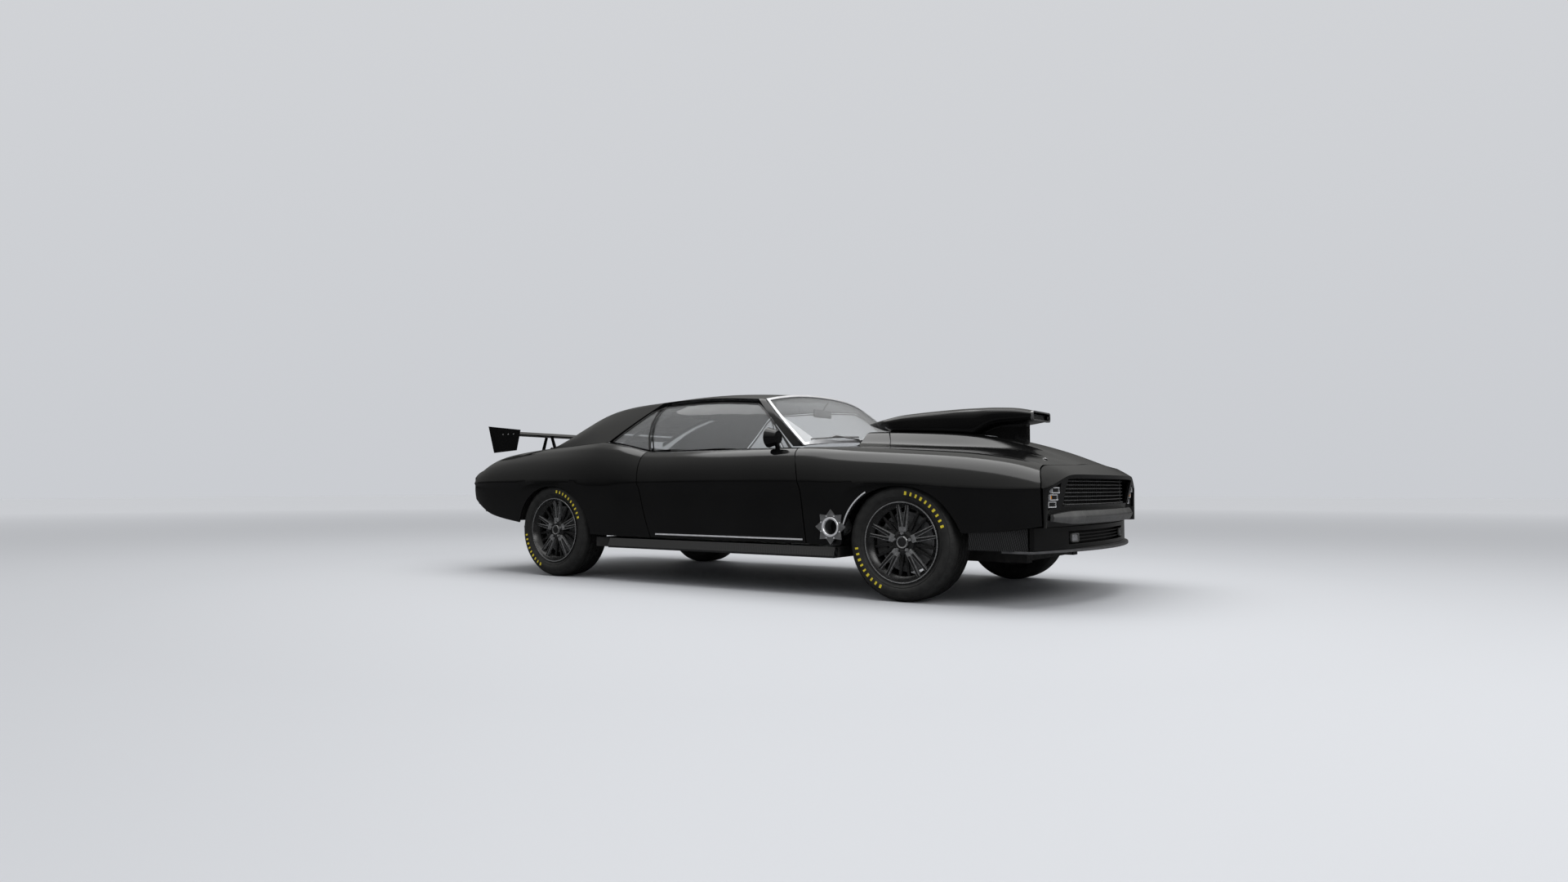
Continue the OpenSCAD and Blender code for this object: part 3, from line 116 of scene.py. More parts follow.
def math_node(nodes, links, operation, a, b=None):
    node = nodes.new("ShaderNodeMath")
    node.operation = operation
    for socket, value in zip(node.inputs, (a, b)):
        if value is None:
            continue
        if isinstance(value, (int, float)):
            socket.default_value = value
        else:
            links.new(value, socket)
    return node.outputs[0]


def make_grain_group():
    """Noise on object coordinates, from Low to High, with a height for a bump."""
    group, entry, leave = new_group(
        "surface_grain", (("Scale", 40.0), ("Low", 0.1), ("High", 0.2)),
        (("Value", "NodeSocketFloat"), ("Height", "NodeSocketFloat")))
    nodes, links = group.nodes, group.links
    place = nodes.new("ShaderNodeTexCoord")
    noise = nodes.new("ShaderNodeTexNoise")
    noise.inputs["Detail"].default_value = 5.0
    spread = nodes.new("ShaderNodeMapRange")
    spread.inputs["From Min"].default_value = 0.3
    spread.inputs["From Max"].default_value = 0.7
    links.new(place.outputs["Object"], noise.inputs["Vector"])
    links.new(entry.outputs["Scale"], noise.inputs["Scale"])
    links.new(noise.outputs["Fac"], spread.inputs["Value"])
    links.new(entry.outputs["Low"], spread.inputs["To Min"])
    links.new(entry.outputs["High"], spread.inputs["To Max"])
    links.new(spread.outputs["Result"], leave.inputs["Value"])
    links.new(noise.outputs["Fac"], leave.inputs["Height"])
    return group


def make_weave_group():
    """Twill weave on object coordinates: a mask of the two thread directions and a height."""
    group, entry, leave = new_group(
        "twill_weave", (("Threads", 120.0),), (("Mask", "NodeSocketFloat"), ("Height", "NodeSocketFloat")))
    nodes, links = group.nodes, group.links
    place = nodes.new("ShaderNodeTexCoord")
    split = nodes.new("ShaderNodeSeparateXYZ")
    links.new(place.outputs["Object"], split.inputs[0])
    run = math_node(nodes, links, "MULTIPLY", split.outputs["X"], entry.outputs["Threads"])
    rise = math_node(nodes, links, "ADD", split.outputs["Z"], split.outputs["Y"])
    rise = math_node(nodes, links, "MULTIPLY", rise, entry.outputs["Threads"])
    step = math_node(nodes, links, "FLOOR", rise)
    shifted = math_node(nodes, links, "ADD", run, math_node(nodes, links, "MULTIPLY", step, 0.25))
    part = math_node(nodes, links, "FRACT", shifted)
    mask = math_node(nodes, links, "GREATER_THAN", part, 0.5)
    links.new(mask, leave.inputs["Mask"])
    wave = math_node(nodes, links, "SINE", math_node(nodes, links, "MULTIPLY", part, 2 * math.pi))
    links.new(wave, leave.inputs["Height"])
    return group


GRAIN = make_grain_group()
WEAVE = make_weave_group()


# Materials

def principled(name, color, **values):
    """A material with its Principled shader; values are set on the shader's own sockets."""
    material = bpy.data.materials.new(name)
    material.use_nodes = True
    shader = material.node_tree.nodes["Principled BSDF"]
    shader.inputs["Base Color"].default_value = (*color, 1.0)
    for socket, value in values.items():
        shader.inputs[socket.replace("_", " ").title().replace("Ior", "IOR")].default_value = value
    return material, material.node_tree, shader


def group_node(tree, group, **values):
    """A group's node, with values set on its sockets."""
    node = tree.nodes.new("ShaderNodeGroup")
    node.node_tree = group
    for socket, value in values.items():
        node.inputs[socket].default_value = value
    return node


def color_mix(tree, factor, a, b):
    """A mix of two colours by a linked factor."""
    mix = tree.nodes.new("ShaderNodeMix")
    mix.data_type = "RGBA"
    mix.inputs["A"].default_value = (*a, 1.0)
    mix.inputs["B"].default_value = (*b, 1.0)
    tree.links.new(factor, mix.inputs["Factor"])
    return mix


def add_bump(tree, shader, height, strength, distance):
    relief = tree.nodes.new("ShaderNodeBump")
    relief.inputs["Strength"].default_value = strength
    relief.inputs["Distance"].default_value = distance
    tree.links.new(height, relief.inputs["Height"])
    tree.links.new(relief.outputs["Normal"], shader.inputs["Normal"])


def vary_roughness(tree, shader, scale, low, high):
    rough = group_node(tree, GRAIN, Scale=scale, Low=low, High=high)
    tree.links.new(rough.outputs["Value"], shader.inputs["Roughness"])


def vary_color(tree, shader, dark, light, scale):
    tone = group_node(tree, GRAIN, Scale=scale, Low=0.0, High=1.0)
    mix = color_mix(tree, tone.outputs["Value"], dark, light)
    tree.links.new(mix.outputs["Result"], shader.inputs["Base Color"])


def make_finish(name, dark, light, low, high, scale=12.0, bump=0.03, bump_scale=900.0, **values):
    """A material whose colour wanders from dark to light, and whose roughness from low to high."""
    material, tree, shader = principled(name, light, **values)
    vary_color(tree, shader, dark, light, scale)
    vary_roughness(tree, shader, scale * 1.7, low, high)
    fine = group_node(tree, GRAIN, Scale=bump_scale)
    add_bump(tree, shader, fine.outputs["Height"], bump, 0.001)
    return material


def make_carbon():
    material, tree, shader = principled(
        "carbon_cloth", (0.012, 0.012, 0.013), coat_weight=0.25, roughness=0.25)
    weave = group_node(tree, WEAVE, Threads=90.0)
    mix = color_mix(tree, weave.outputs["Mask"], (0.004, 0.004, 0.004), (0.020, 0.020, 0.021))
    tree.links.new(mix.outputs["Result"], shader.inputs["Base Color"])
    add_bump(tree, shader, weave.outputs["Height"], 0.2, 0.0005)
    return material


def make_glass(name, color, clear):
    return principled(name, color, roughness=0.0, transmission_weight=clear, ior=1.3)[0]


def make_tyre_rubber(name, centre):
    """Rubber with cross grooves on the tread, turned about the wheel's own axle."""
    material, tree, shader = principled(name, (0.012, 0.012, 0.012))
    vary_color(tree, shader, (0.008, 0.008, 0.008), (0.017, 0.017, 0.016), 25.0)
    vary_roughness(tree, shader, 60.0, 0.5, 0.68)
    nodes, links = tree.nodes, tree.links
    place = nodes.new("ShaderNodeTexCoord")
    centred = nodes.new("ShaderNodeMapping")
    centred.vector_type = "POINT"
    centred.inputs["Location"].default_value = (-centre[0], -centre[1], -centre[2])
    split = nodes.new("ShaderNodeSeparateXYZ")
    links.new(place.outputs["Object"], centred.inputs["Vector"])
    links.new(centred.outputs["Vector"], split.inputs[0])
    angle = math_node(nodes, links, "ARCTAN2", split.outputs["Z"], split.outputs["X"])
    pitch = math_node(nodes, links, "MULTIPLY", angle, TREAD_BLOCKS / (2 * math.pi))
    aside = math_node(nodes, links, "ABSOLUTE", split.outputs["Y"])
    slant = math_node(nodes, links, "MULTIPLY", aside, TREAD_SLANT)
    part = math_node(nodes, links, "FRACT", math_node(nodes, links, "ADD", pitch, slant))
    groove = math_node(nodes, links, "GREATER_THAN", part, 0.14)
    squares = [math_node(nodes, links, "POWER", split.outputs[axis], 2.0) for axis in "XZ"]
    out = math_node(nodes, links, "SQRT", math_node(nodes, links, "ADD", *squares))
    tread = math_node(nodes, links, "GREATER_THAN", out, TYRE_R - TREAD_BAND)
    flat = math_node(nodes, links, "SUBTRACT", 1.0, tread)
    add_bump(tree, shader, math_node(nodes, links, "MAXIMUM", groove, flat), 1.0, 0.006)
    return material


PAINT = make_finish(
    "gloss_black_paint", (0.0025, 0.0025, 0.0026), (0.004, 0.004, 0.004), 0.1, 0.16, 3.0, 0.012,
    specular_ior_level=0.4)
SATIN_BLACK = make_finish("satin_black", (0.006, 0.006, 0.006), (0.012, 0.012, 0.012), 0.32, 0.45, 20.0)
# Polished trim, and also the painted highlight on the front arch lips.
BRIGHT_TRIM_AND_HIGHLIGHT = make_finish("polished_trim_and_painted_highlight", (0.62, 0.62, 0.63), (0.78, 0.78, 0.79), 0.12, 0.22, 30.0, metallic=0.45)
DARK_CHROME = make_finish(
    "dark_chrome", (0.11, 0.11, 0.108), (0.16, 0.16, 0.157), 0.14, 0.24, 14.0, metallic=0.5)
GREY_PLASTIC = make_finish("grey_plastic", (0.05, 0.05, 0.052), (0.08, 0.08, 0.082), 0.3, 0.42, 20.0)
STEEL = make_finish(
    "brushed_steel", (0.14, 0.14, 0.14), (0.24, 0.24, 0.24), 0.25, 0.4, 35.0, 0.08, metallic=0.6)
CHASSIS = make_finish("chassis_black", (0.01, 0.01, 0.01), (0.025, 0.024, 0.023), 0.45, 0.65, 18.0, 0.1)
CAST = make_finish(
    "cast_metal", (0.06, 0.06, 0.06), (0.12, 0.12, 0.118), 0.45, 0.6, 30.0, 0.25, 400.0, metallic=0.8)
WHEEL_BLACK = make_finish("wheel_black", (0.006, 0.006, 0.006), (0.014, 0.014, 0.014), 0.22, 0.32, 25.0)
MACHINED = make_finish("machined_edge", (0.2, 0.2, 0.2), (0.34, 0.34, 0.34), 0.18, 0.3, 60.0, metallic=0.6)
YELLOW = make_finish("yellow_mark", (0.5, 0.4, 0.01), (0.62, 0.5, 0.015), 0.45, 0.6, 80.0)
RED_LENS = make_finish("red_lens", (0.2, 0.004, 0.004), (0.32, 0.008, 0.006), 0.05, 0.12, 40.0)
AMBER = make_finish("amber_lens", (0.5, 0.17, 0.005), (0.65, 0.24, 0.01), 0.06, 0.14, 40.0)
CLEAR_LAMP = make_finish(
    "lamp_reflector", (0.35, 0.35, 0.36), (0.55, 0.55, 0.57), 0.05, 0.15, 90.0, metallic=0.7)
CABIN = make_finish(
    "cabin_plastic", (0.012, 0.012, 0.012), (0.022, 0.022, 0.022), 0.5, 0.62, 40.0, 0.2, 700.0)
VINYL = make_finish("seat_vinyl", (0.015, 0.015, 0.016), (0.03, 0.03, 0.031), 0.42, 0.56, 35.0, 0.3, 500.0)
# Near black for the radiator and dial faces, and painted shade in the disc slots, the intake and the tail
# pipes.
NEAR_BLACK_AND_SHADE = make_finish("near_black_and_painted_shade", (0.004, 0.004, 0.004), (0.008, 0.008, 0.008), 0.5, 0.6, 50.0)
CARBON = make_carbon()
GLASS = make_glass("tinted_glass", (0.76, 0.77, 0.77), 0.9)
SCREEN_GLASS = make_glass("screen_glass", (0.93, 0.94, 0.94), 0.95)


# Mesh helpers

MERGE_DISTANCE = 0.00005
TRIM_FACING = 0.25
TRIM_LIFT = 0.001


def finish_piece(name, bm, body, material, sharp=35.0, node=None):
    """Turns a bmesh into a piece that rides on a body, and replaces a node where one is named."""
    mesh = bpy.data.meshes.new(name)
    bm.to_mesh(mesh)
    bm.free()
    for face in mesh.polygons:
        face.use_smooth = True
    mesh.set_sharp_from_angle(angle=math.radians(sharp))
    mesh.materials.append(material)
    piece = bpy.data.objects.new(name, mesh)
    scene.collection.objects.link(piece)
    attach(piece, body)
    if node:
        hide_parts(node)
    return piece


def merged_copy(node):
    bm = bmesh.new()
    bm.from_mesh(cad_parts[node].data)
    bmesh.ops.remove_doubles(bm, verts=bm.verts, dist=MERGE_DISTANCE)
    bmesh.ops.dissolve_degenerate(bm, edges=bm.edges, dist=MERGE_DISTANCE)
    return bm


def to_quads(bm):
    bmesh.ops.join_triangles(
        bm, faces=bm.faces, angle_face_threshold=math.radians(35.0), angle_shape_threshold=math.radians(75.0))


def crease_edges(bm, start, full):
    """Creases grow with the angle between faces, so that body lines stay and open faces smooth out."""
    layer = bm.edges.layers.float.new("crease_edge")
    for edge in bm.edges:
        if len(edge.link_faces) == 2:
            bend = math.degrees(edge.calc_face_angle(0.0))
            edge[layer] = min(1.0, max(0.0, (bend - start) / (full - start)))


def smooth_panel(node, body, material, levels=2, start=14.0, full=34.0, rounding=0.0022):
    """A node's own shape with smooth faces and rounded edges, in place of the node."""
    bm = merged_copy(node)
    to_quads(bm)
    crease_edges(bm, start, full)
    piece = finish_piece(node + "_panel", bm, body, material, 40.0, node)
    smooth = piece.modifiers.new("smooth", "SUBSURF")
    smooth.levels = levels
    smooth.render_levels = levels
    if rounding:
        edges = piece.modifiers.new("rounding", "BEVEL")
        edges.width = rounding
        edges.segments = 2
        edges.limit_method = "ANGLE"
        edges.angle_limit = math.radians(50.0)
        edges.harden_normals = False


def add_box(bm, size, place, round_by=0.0, segments=2):
    """A box with rounded edges; place is a matrix."""
    made = bmesh.ops.create_cube(bm, size=1.0, matrix=place @ Matrix.Diagonal((*size, 1.0)))
    if round_by:
        edges = {edge for vert in made["verts"] for edge in vert.link_edges}
        bmesh.ops.bevel(
            bm, geom=list(edges), offset=round_by, offset_type="OFFSET", affect="EDGES", segments=segments,
            profile=0.5, material=-1)


def move(x, y, z):
    return Matrix.Translation((x, y, z))


def turn(degrees, axis):
    return Matrix.Rotation(math.radians(degrees), 4, axis)


def add_lathe(bm, profile, place, segments=96):
    """Spins a closed profile of (radius, along) round the y axis of place."""
    verts = [bm.verts.new(place @ Vector((0.0, along, radius))) for radius, along in profile]
    edges = [bm.edges.new((verts[k], verts[(k + 1) % len(verts)])) for k in range(len(verts))]
    axis = place.to_3x3() @ Vector((0.0, 1.0, 0.0))
    bmesh.ops.spin(
        bm, geom=verts + edges, cent=place.translation, axis=axis, angle=2 * math.pi, steps=segments,
        use_merge=True)
    bmesh.ops.remove_doubles(bm, verts=bm.verts, dist=0.00002)
    bmesh.ops.recalc_face_normals(bm, faces=bm.faces)


def add_tube(bm, points, radius, sides=10):
    """A round bar along points."""
    rings = []
    for k, point in enumerate(points):
        ahead = Vector(points[min(k + 1, len(points) - 1)]) - Vector(points[max(k - 1, 0)])
        aim = ahead.to_track_quat("Z", "Y").to_matrix().to_4x4()
        made = bmesh.ops.create_circle(bm, segments=sides, radius=radius, matrix=move(*point) @ aim)
        rings.append(made["verts"])
    for ring, following in zip(rings, rings[1:]):
        first, second = set(ring), set(following)
        edges = [e for e in bm.edges if len(e.link_faces) < 2 and (
            first.issuperset(e.verts) or second.issuperset(e.verts))]
        bmesh.ops.bridge_loops(bm, edges=edges)
    bmesh.ops.holes_fill(bm, edges=[e for e in bm.edges if len(e.link_faces) == 1], sides=sides)
    bmesh.ops.recalc_face_normals(bm, faces=bm.faces)


def rim_trim(node, body, material, width, thick, name, look=None):
    """A band along the edge of a pane, on the side that looks along look, or else on its outer side."""
    def shows(face):
        if look:
            return face.normal.dot(Vector(look).normalized()) > TRIM_FACING
        return abs(face.normal.y) > TRIM_FACING and face.normal.y * face.calc_center_median().y > 0

    bm = merged_copy(node)
    bmesh.ops.delete(bm, geom=[f for f in bm.faces if not shows(f)], context="FACES")
    inner = list(bm.faces)
    bmesh.ops.inset_region(bm, faces=inner, thickness=width, use_boundary=True, use_even_offset=True)
    bmesh.ops.delete(bm, geom=inner, context="FACES")
    for vert in bm.verts:
        vert.co += vert.normal * TRIM_LIFT
    bmesh.ops.solidify(bm, geom=bm.faces, thickness=-thick)
    bmesh.ops.recalc_face_normals(bm, faces=bm.faces)
    finish_piece(name, bm, body, material, 30.0)


# Painted panels

for node, body in (
        ("front_fenders", "body"), ("quarter_panels", "body"), ("roof", "body"), ("nose", "body"),
        ("cowl", "body"), ("front_valance", "body"), ("tail_panel", "body"), ("rear_valance", "body"),
        ("door_right", "door_right"), ("door_left", "door_left"), ("hood", "hood"),
        ("hood_scoop", "hood"), ("trunk_lid", "trunk")):
    smooth_panel(node, body, PAINT)
smooth_panel("wing", "trunk", PAINT, levels=1, start=8.0, full=20.0, rounding=0.0015)
smooth_panel("front_bumper", "body", DARK_CHROME, start=20.0, full=50.0)
smooth_panel("rear_bumper", "body", DARK_CHROME, start=20.0, full=50.0)
smooth_panel(
    "splitter", "body", GREY_PLASTIC, levels=1, start=20.0, full=40.0, rounding=0.0015)
for node, body in (
        ("rear_window", "body"), ("quarter_glass", "body"),
        ("door_glass_right", "door_right"), ("door_glass_left", "door_left")):
    smooth_panel(node, body, GLASS, rounding=0.0)
smooth_panel("windshield", "body", SCREEN_GLASS, rounding=0.0)

for node, material in (
        ("floor_pan", CHASSIS), ("subframe", CHASSIS), ("control_arms", CHASSIS), ("inner_fenders", CHASSIS),
        ("leaf_springs", CHASSIS), ("driveshaft", CHASSIS), ("fuel_tank", CHASSIS), ("trunk_sides", CHASSIS),
        ("engine", CAST), ("rear_axle", CAST), ("knuckle_right", CAST), ("knuckle_left", CAST),
        ("grille", SATIN_BLACK), ("headlamp_covers", SATIN_BLACK), ("rear_louvre", SATIN_BLACK),
        ("side_skirts", CARBON), ("front_corners", CARBON), ("radiator", NEAR_BLACK_AND_SHADE), ("dashboard", CABIN),
        ("tail_lamps", RED_LENS), ("exhausts", STEEL)):
    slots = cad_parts[node].data.materials
    slots.clear()
    slots.append(material)


# Wheels and tyres

def outer_turn(side):
    """Turns a shape that looks along +y to the car's outer side."""
    return Matrix.Identity(4) if side > 0 else turn(180.0, "Z")


def outward(x, side):
    """Places a shape whose outer face looks along +y at a wheel."""
    return move(x, side * WHEEL_Y, TYRE_R) @ outer_turn(side)


def tyre_profile():
    """The tyre's closed section, as (radius, along) from the outer bead round to the inner one."""
    half = TYRE_W / 2
    outer = [
        (0.2135, 0.1005), (0.228, 0.1035), (0.236, 0.108), (0.250, 0.1165), (0.262, half), (0.276, half),
        (0.290, 0.1195), (0.302, 0.1130), (0.312, 0.1030), (0.3195, 0.0935), (0.3230, 0.0830)]
    tread = []
    for centre in GROOVES:
        tread += [
            (TYRE_R - 0.0004, centre + 0.0045), (TYRE_R - GROOVE_DEPTH, centre + 0.0035),
            (TYRE_R - GROOVE_DEPTH, centre - 0.0035), (TYRE_R - 0.0002, centre - 0.0045)]
    half_side = outer + tread
    inner = [(0.2135, 0.088), (0.262, 0.1085), (0.302, 0.086)]
    mirrored = [(r, -y) for r, y in reversed(half_side)]
    inside = [(r, -y) for r, y in inner] + [(r, y) for r, y in reversed(inner)]
    return half_side + mirrored + inside


def add_arm(bm, place, inner, outer, wide_in, wide_out, front, back, round_by):
    """A tapered wheel arm from radius inner to radius outer, between two depths."""
    made = bmesh.ops.create_cube(bm, size=1.0)
    for vert in made["verts"]:
        far = vert.co.z > 0
        wide = wide_out if far else wide_in
        vert.co = Vector((
            vert.co.x * wide, front if vert.co.y > 0 else back, outer if far else inner))
    edges = {e for v in made["verts"] for e in v.link_edges}
    result = bmesh.ops.bevel(
        bm, geom=list(edges), offset=round_by, offset_type="OFFSET", affect="EDGES", segments=2, profile=0.5,
        material=-1)
    verts = {v for f in result["faces"] for v in f.verts} | {v for v in made["verts"] if v.is_valid}
    bmesh.ops.transform(bm, matrix=place, verts=list(verts))


def build_wheel(code, x, side):
    """Rim with its dark back spokes, polished front spokes with dark faces, nuts, cap and brake disc."""
    place = outward(x, side)
    body = "wheel_" + code
    rim = bmesh.new()
    add_lathe(rim, [
        (0.189, -0.1105), (0.225, -0.1105), (0.225, -0.1015), (0.212, -0.1015), (0.211, -0.069),
        (0.197, -0.03), (0.197, 0.03), (0.211, 0.069), (0.212, 0.1015), (0.225, 0.1015), (0.225, 0.1085),
        (0.222, 0.1105), (0.217, 0.1105), (0.213, 0.104), (0.203, 0.080), (0.189, 0.069)], place)
    add_lathe(rim, [
        (0.02, 0.004), (0.072, 0.004), (0.074, 0.010), (0.074, 0.060), (0.066, 0.078), (0.050, 0.084),
        (0.034, 0.078), (0.02, 0.078)], place, 64)
    for k in range(SPOKES):
        for split in (-1, 1):
            spin = turn(SPOKE_PITCH * k + SPOKE_PITCH / 2 + BACK_SPOKE_SPLIT * split, "Y")
            lean = turn(-4.0 * split, "Y")
            add_arm(rim, place @ spin @ lean, **BACK_SPOKE)
    finish_piece("rim_" + code, rim, body, WHEEL_BLACK, 30.0, "wheel_" + code)
    bright = bmesh.new()
    add_lathe(bright, [(0.2165, 0.1100), (0.2195, 0.1112), (0.2225, 0.1112), (0.2235, 0.1100)], place)
    dark = bmesh.new()
    for k in range(SPOKES):
        for split in (-1, 1):
            spin = turn(SPOKE_PITCH * k + SPOKE_SPLIT * split, "Y")
            add_arm(bright, place @ spin, **FRONT_SPOKE)
            add_arm(dark, place @ spin, **SPOKE_FACE)
        nut = place @ turn(SPOKE_PITCH * k, "Y") @ move(0.0, 0.087, 0.050) @ turn(90.0, "X")
        bmesh.ops.create_cone(
            bright, cap_ends=True, segments=6, radius1=0.0095, radius2=0.0085, depth=0.022, matrix=nut)
    add_lathe(bright, [
        (0.026, 0.080), (0.033, 0.080), (0.034, 0.0925), (0.031, 0.0955), (0.026, 0.093)], place, 48)
    finish_piece("machined_" + code, bright, body, MACHINED, 30.0)
    add_lathe(dark, [
        (0.0005, 0.080), (0.026, 0.080), (0.026, 0.0915), (0.018, 0.0935), (0.0005, 0.094)], place, 48)
    finish_piece("wheel_faces_" + code, dark, body, WHEEL_BLACK, 30.0)
    disc = bmesh.new()
    add_lathe(disc, [
        (0.07, 0.002), (0.165, 0.002), (0.165, 0.010), (0.100, 0.010), (0.100, 0.022), (0.165, 0.022),
        (0.165, 0.030), (0.07, 0.030)], place)
    finish_piece("disc_" + code, disc, body, STEEL, 30.0)
    # Near-black strips on the disc face: painted shade standing in for the depth of its slots.
    slots = bmesh.new()
    for k in range(DISC_SLOTS):
        at = place @ turn(360.0 / DISC_SLOTS * k, "Y") @ move(0.0, 0.0302, 0.132) @ turn(24.0, "Y")
        add_box(slots, (0.0035, 0.0008, 0.050), at, 0.0003)
    finish_piece("disc_slot_shade_" + code, slots, body, NEAR_BLACK_AND_SHADE)


def build_tyre(code, x, side):
    place = outward(x, side)
    body = "wheel_" + code
    tyre = bmesh.new()
    add_lathe(tyre, tyre_profile(), place, 120)
    rubber = make_tyre_rubber("tyre_rubber_" + code, place.translation)
    finish_piece("tyre_" + code + "_dressed", tyre, body, rubber, 28.0, "tyre_" + code)
    ribs = bmesh.new()
    for radius, along in RIB_RADII_AND_PLACES:
        add_lathe(ribs, [
            (radius - 0.002, along), (radius + 0.002, along), (radius + 0.001, along + 0.0016),
            (radius - 0.001, along + 0.0016)], place, 120)
    finish_piece("tyre_ribs_" + code, ribs, body, rubber)
    marks = bmesh.new()
    for first, count in MARK_ROWS:
        for k in range(count):
            wide = 0.011 if k % 3 else 0.014
            at = place @ turn(-first - MARK_PITCH * k, "Y") @ move(0.0, TYRE_W / 2 + 0.0002, MARK_R)
            add_box(marks, (wide, 0.0012, 0.020), at, 0.0005, 1)
    finish_piece("tyre_marks_" + code, marks, body, YELLOW)


for code, x, side in WHEELS:
    build_wheel(code, x, side)
    build_tyre(code, x, side)


# Trim round the windows

rim_trim("windshield", "body", BRIGHT_TRIM_AND_HIGHLIGHT, 0.020, 0.004, "windshield_surround", (0.8, 0.0, 0.6))
rim_trim(
    "rear_window", "body", SATIN_BLACK, 0.016, 0.003, "rear_window_surround",
    (-0.6, 0.0, 0.8))


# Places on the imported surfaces

SKIN_TREES = {}
BESIDE = 2.0
ABOVE = 2.0
AHEAD = 3.4
RAY_LENGTH = 1.1


def skin_tree(node):
    if node not in SKIN_TREES:
        bm = merged_copy(node)
        SKIN_TREES[node] = BVHTree.FromBMesh(bm)
        bm.free()
    return SKIN_TREES[node]


def hit(node, start, way, lift):
    """Where a ray meets the node, or the node's nearest point when it goes past."""
    at, normal, _, _ = skin_tree(node).ray_cast(start, way)
    if at is None:
        at, normal, _, _ = skin_tree(node).find_nearest(start + way * RAY_LENGTH)
    return at + normal * lift


def on_side(node, x, z, side, lift=0.0):
    return hit(node, Vector((x, side * BESIDE, z)), Vector((0.0, -side, 0.0)), lift)


def on_top(node, x, y, lift=0.0):
    return hit(node, Vector((x, y, ABOVE)), Vector((0.0, 0.0, -1.0)), lift)


def on_front(node, y, z, lift=0.0, way=1):
    """Seen from ahead of the car, or from behind it where way is -1."""
    return hit(node, Vector((way * AHEAD, y, z)), Vector((-way, 0.0, 0.0)), lift)


def add_ribbon(bm, points, across, thick):
    """A flat strip along points, as wide as the vector across, with a thickness."""
    fresh = bmesh.new()
    verts = [fresh.verts.new(point) for point in points]
    edges = [fresh.edges.new(pair) for pair in zip(verts, verts[1:])]
    made = bmesh.ops.extrude_edge_only(fresh, edges=edges)
    bmesh.ops.translate(
        fresh, verts=[g for g in made["geom"] if isinstance(g, bmesh.types.BMVert)], vec=across)
    bmesh.ops.solidify(fresh, geom=fresh.faces, thickness=thick)
    bmesh.ops.recalc_face_normals(fresh, faces=fresh.faces)
    join_into(bm, fresh)


def join_into(bm, fresh):
    mesh = bpy.data.meshes.new("part")
    fresh.to_mesh(mesh)
    fresh.free()
    bm.from_mesh(mesh)
    bpy.data.meshes.remove(mesh)


def rounded_sheet(width, height, corner):
    """A flat rounded rectangle about the origin, as a fresh bmesh."""
    fresh = bmesh.new()
    bmesh.ops.create_grid(fresh, x_segments=1, y_segments=1, size=0.5)
    bmesh.ops.scale(fresh, vec=(width, height, 1.0), verts=fresh.verts)
    bmesh.ops.bevel(
        fresh, geom=fresh.verts, offset=corner, offset_type="OFFSET", affect="VERTICES", segments=4,
        profile=0.5, material=-1)
    return fresh


def raise_sheet(bm, fresh, place, depth):
    """Gives a flat sheet its depth along z, and joins it into bm at place."""
    made = bmesh.ops.extrude_face_region(fresh, geom=fresh.faces)
    bmesh.ops.translate(
        fresh, verts=[g for g in made["geom"] if isinstance(g, bmesh.types.BMVert)], vec=(0.0, 0.0, depth))
    bmesh.ops.recalc_face_normals(fresh, faces=fresh.faces)
    bmesh.ops.transform(fresh, matrix=place, verts=fresh.verts)
    join_into(bm, fresh)


def add_frame(bm, place, width, height, band, depth, corner):
    """A rounded rectangular frame in the xy plane of place, depth along z."""
    fresh = rounded_sheet(width, height, corner)
    middle = list(fresh.faces)
    bmesh.ops.inset_region(fresh, faces=middle, thickness=band, use_boundary=True, use_even_offset=True)
    bmesh.ops.delete(fresh, geom=middle, context="FACES")
    raise_sheet(bm, fresh, place, depth)


def add_plate(bm, place, width, height, depth, corner):
    """A rounded rectangular plate in the xy plane of place."""
    raise_sheet(bm, rounded_sheet(width, height, corner), place, depth)


def facing(at, normal, up=(0.0, 0.0, 1.0)):
    """A matrix at a point whose z looks along normal and whose y is up."""
    z = Vector(normal).normalized()
    x = Vector(up).cross(z).normalized()
    y = z.cross(x)
    return Matrix.Translation(at) @ Matrix((x, y, z)).transposed().to_4x4()


def steps(start, end, count):
    return [start + (end - start) * k / (count - 1) for k in range(count)]


# Side trim, and a painted highlight on the front arch lips

def build_rocker_trim():
    for name, side in SIDES:
        node = "door_" + name
        bm = bmesh.new()
        points = [on_side(node, x, 0.318, side, 0.001) for x in steps(-0.36, 0.785, 30)]
        add_ribbon(bm, points, (0.0, 0.0, 0.016), 0.005 * side)
        finish_piece("rocker_trim_" + name, bm, node, BRIGHT_TRIM_AND_HIGHLIGHT, 30.0)


def arch_height(x, centre, top):
    away = min(1.0, abs(x - centre) / ARCH_HALF)
    return ARCH_FOOT + (top - ARCH_FOOT) * (1.0 - away ** ARCH_POWER) ** (1.0 / ARCH_POWER)


def build_arch_lip_highlight():
    # A bright bead along part of the front arch lip only: a painted highlight where light catches the lip.
    bm = bmesh.new()
    for side in (-1, 1):
        points = []
        for angle in steps(122.0, 160.0, 24):
            x = FRONT_AXLE + ARCH_HALF * math.cos(math.radians(angle))
            z = arch_height(x, FRONT_AXLE, FRONT_ARCH_TOP)
            points.append(on_side("front_fenders", x - 0.004, z + 0.008, side, 0.0008))
        add_tube(bm, points, 0.0045, 8)
    finish_piece("arch_lip_highlight", bm, "body", BRIGHT_TRIM_AND_HIGHLIGHT, 40.0)


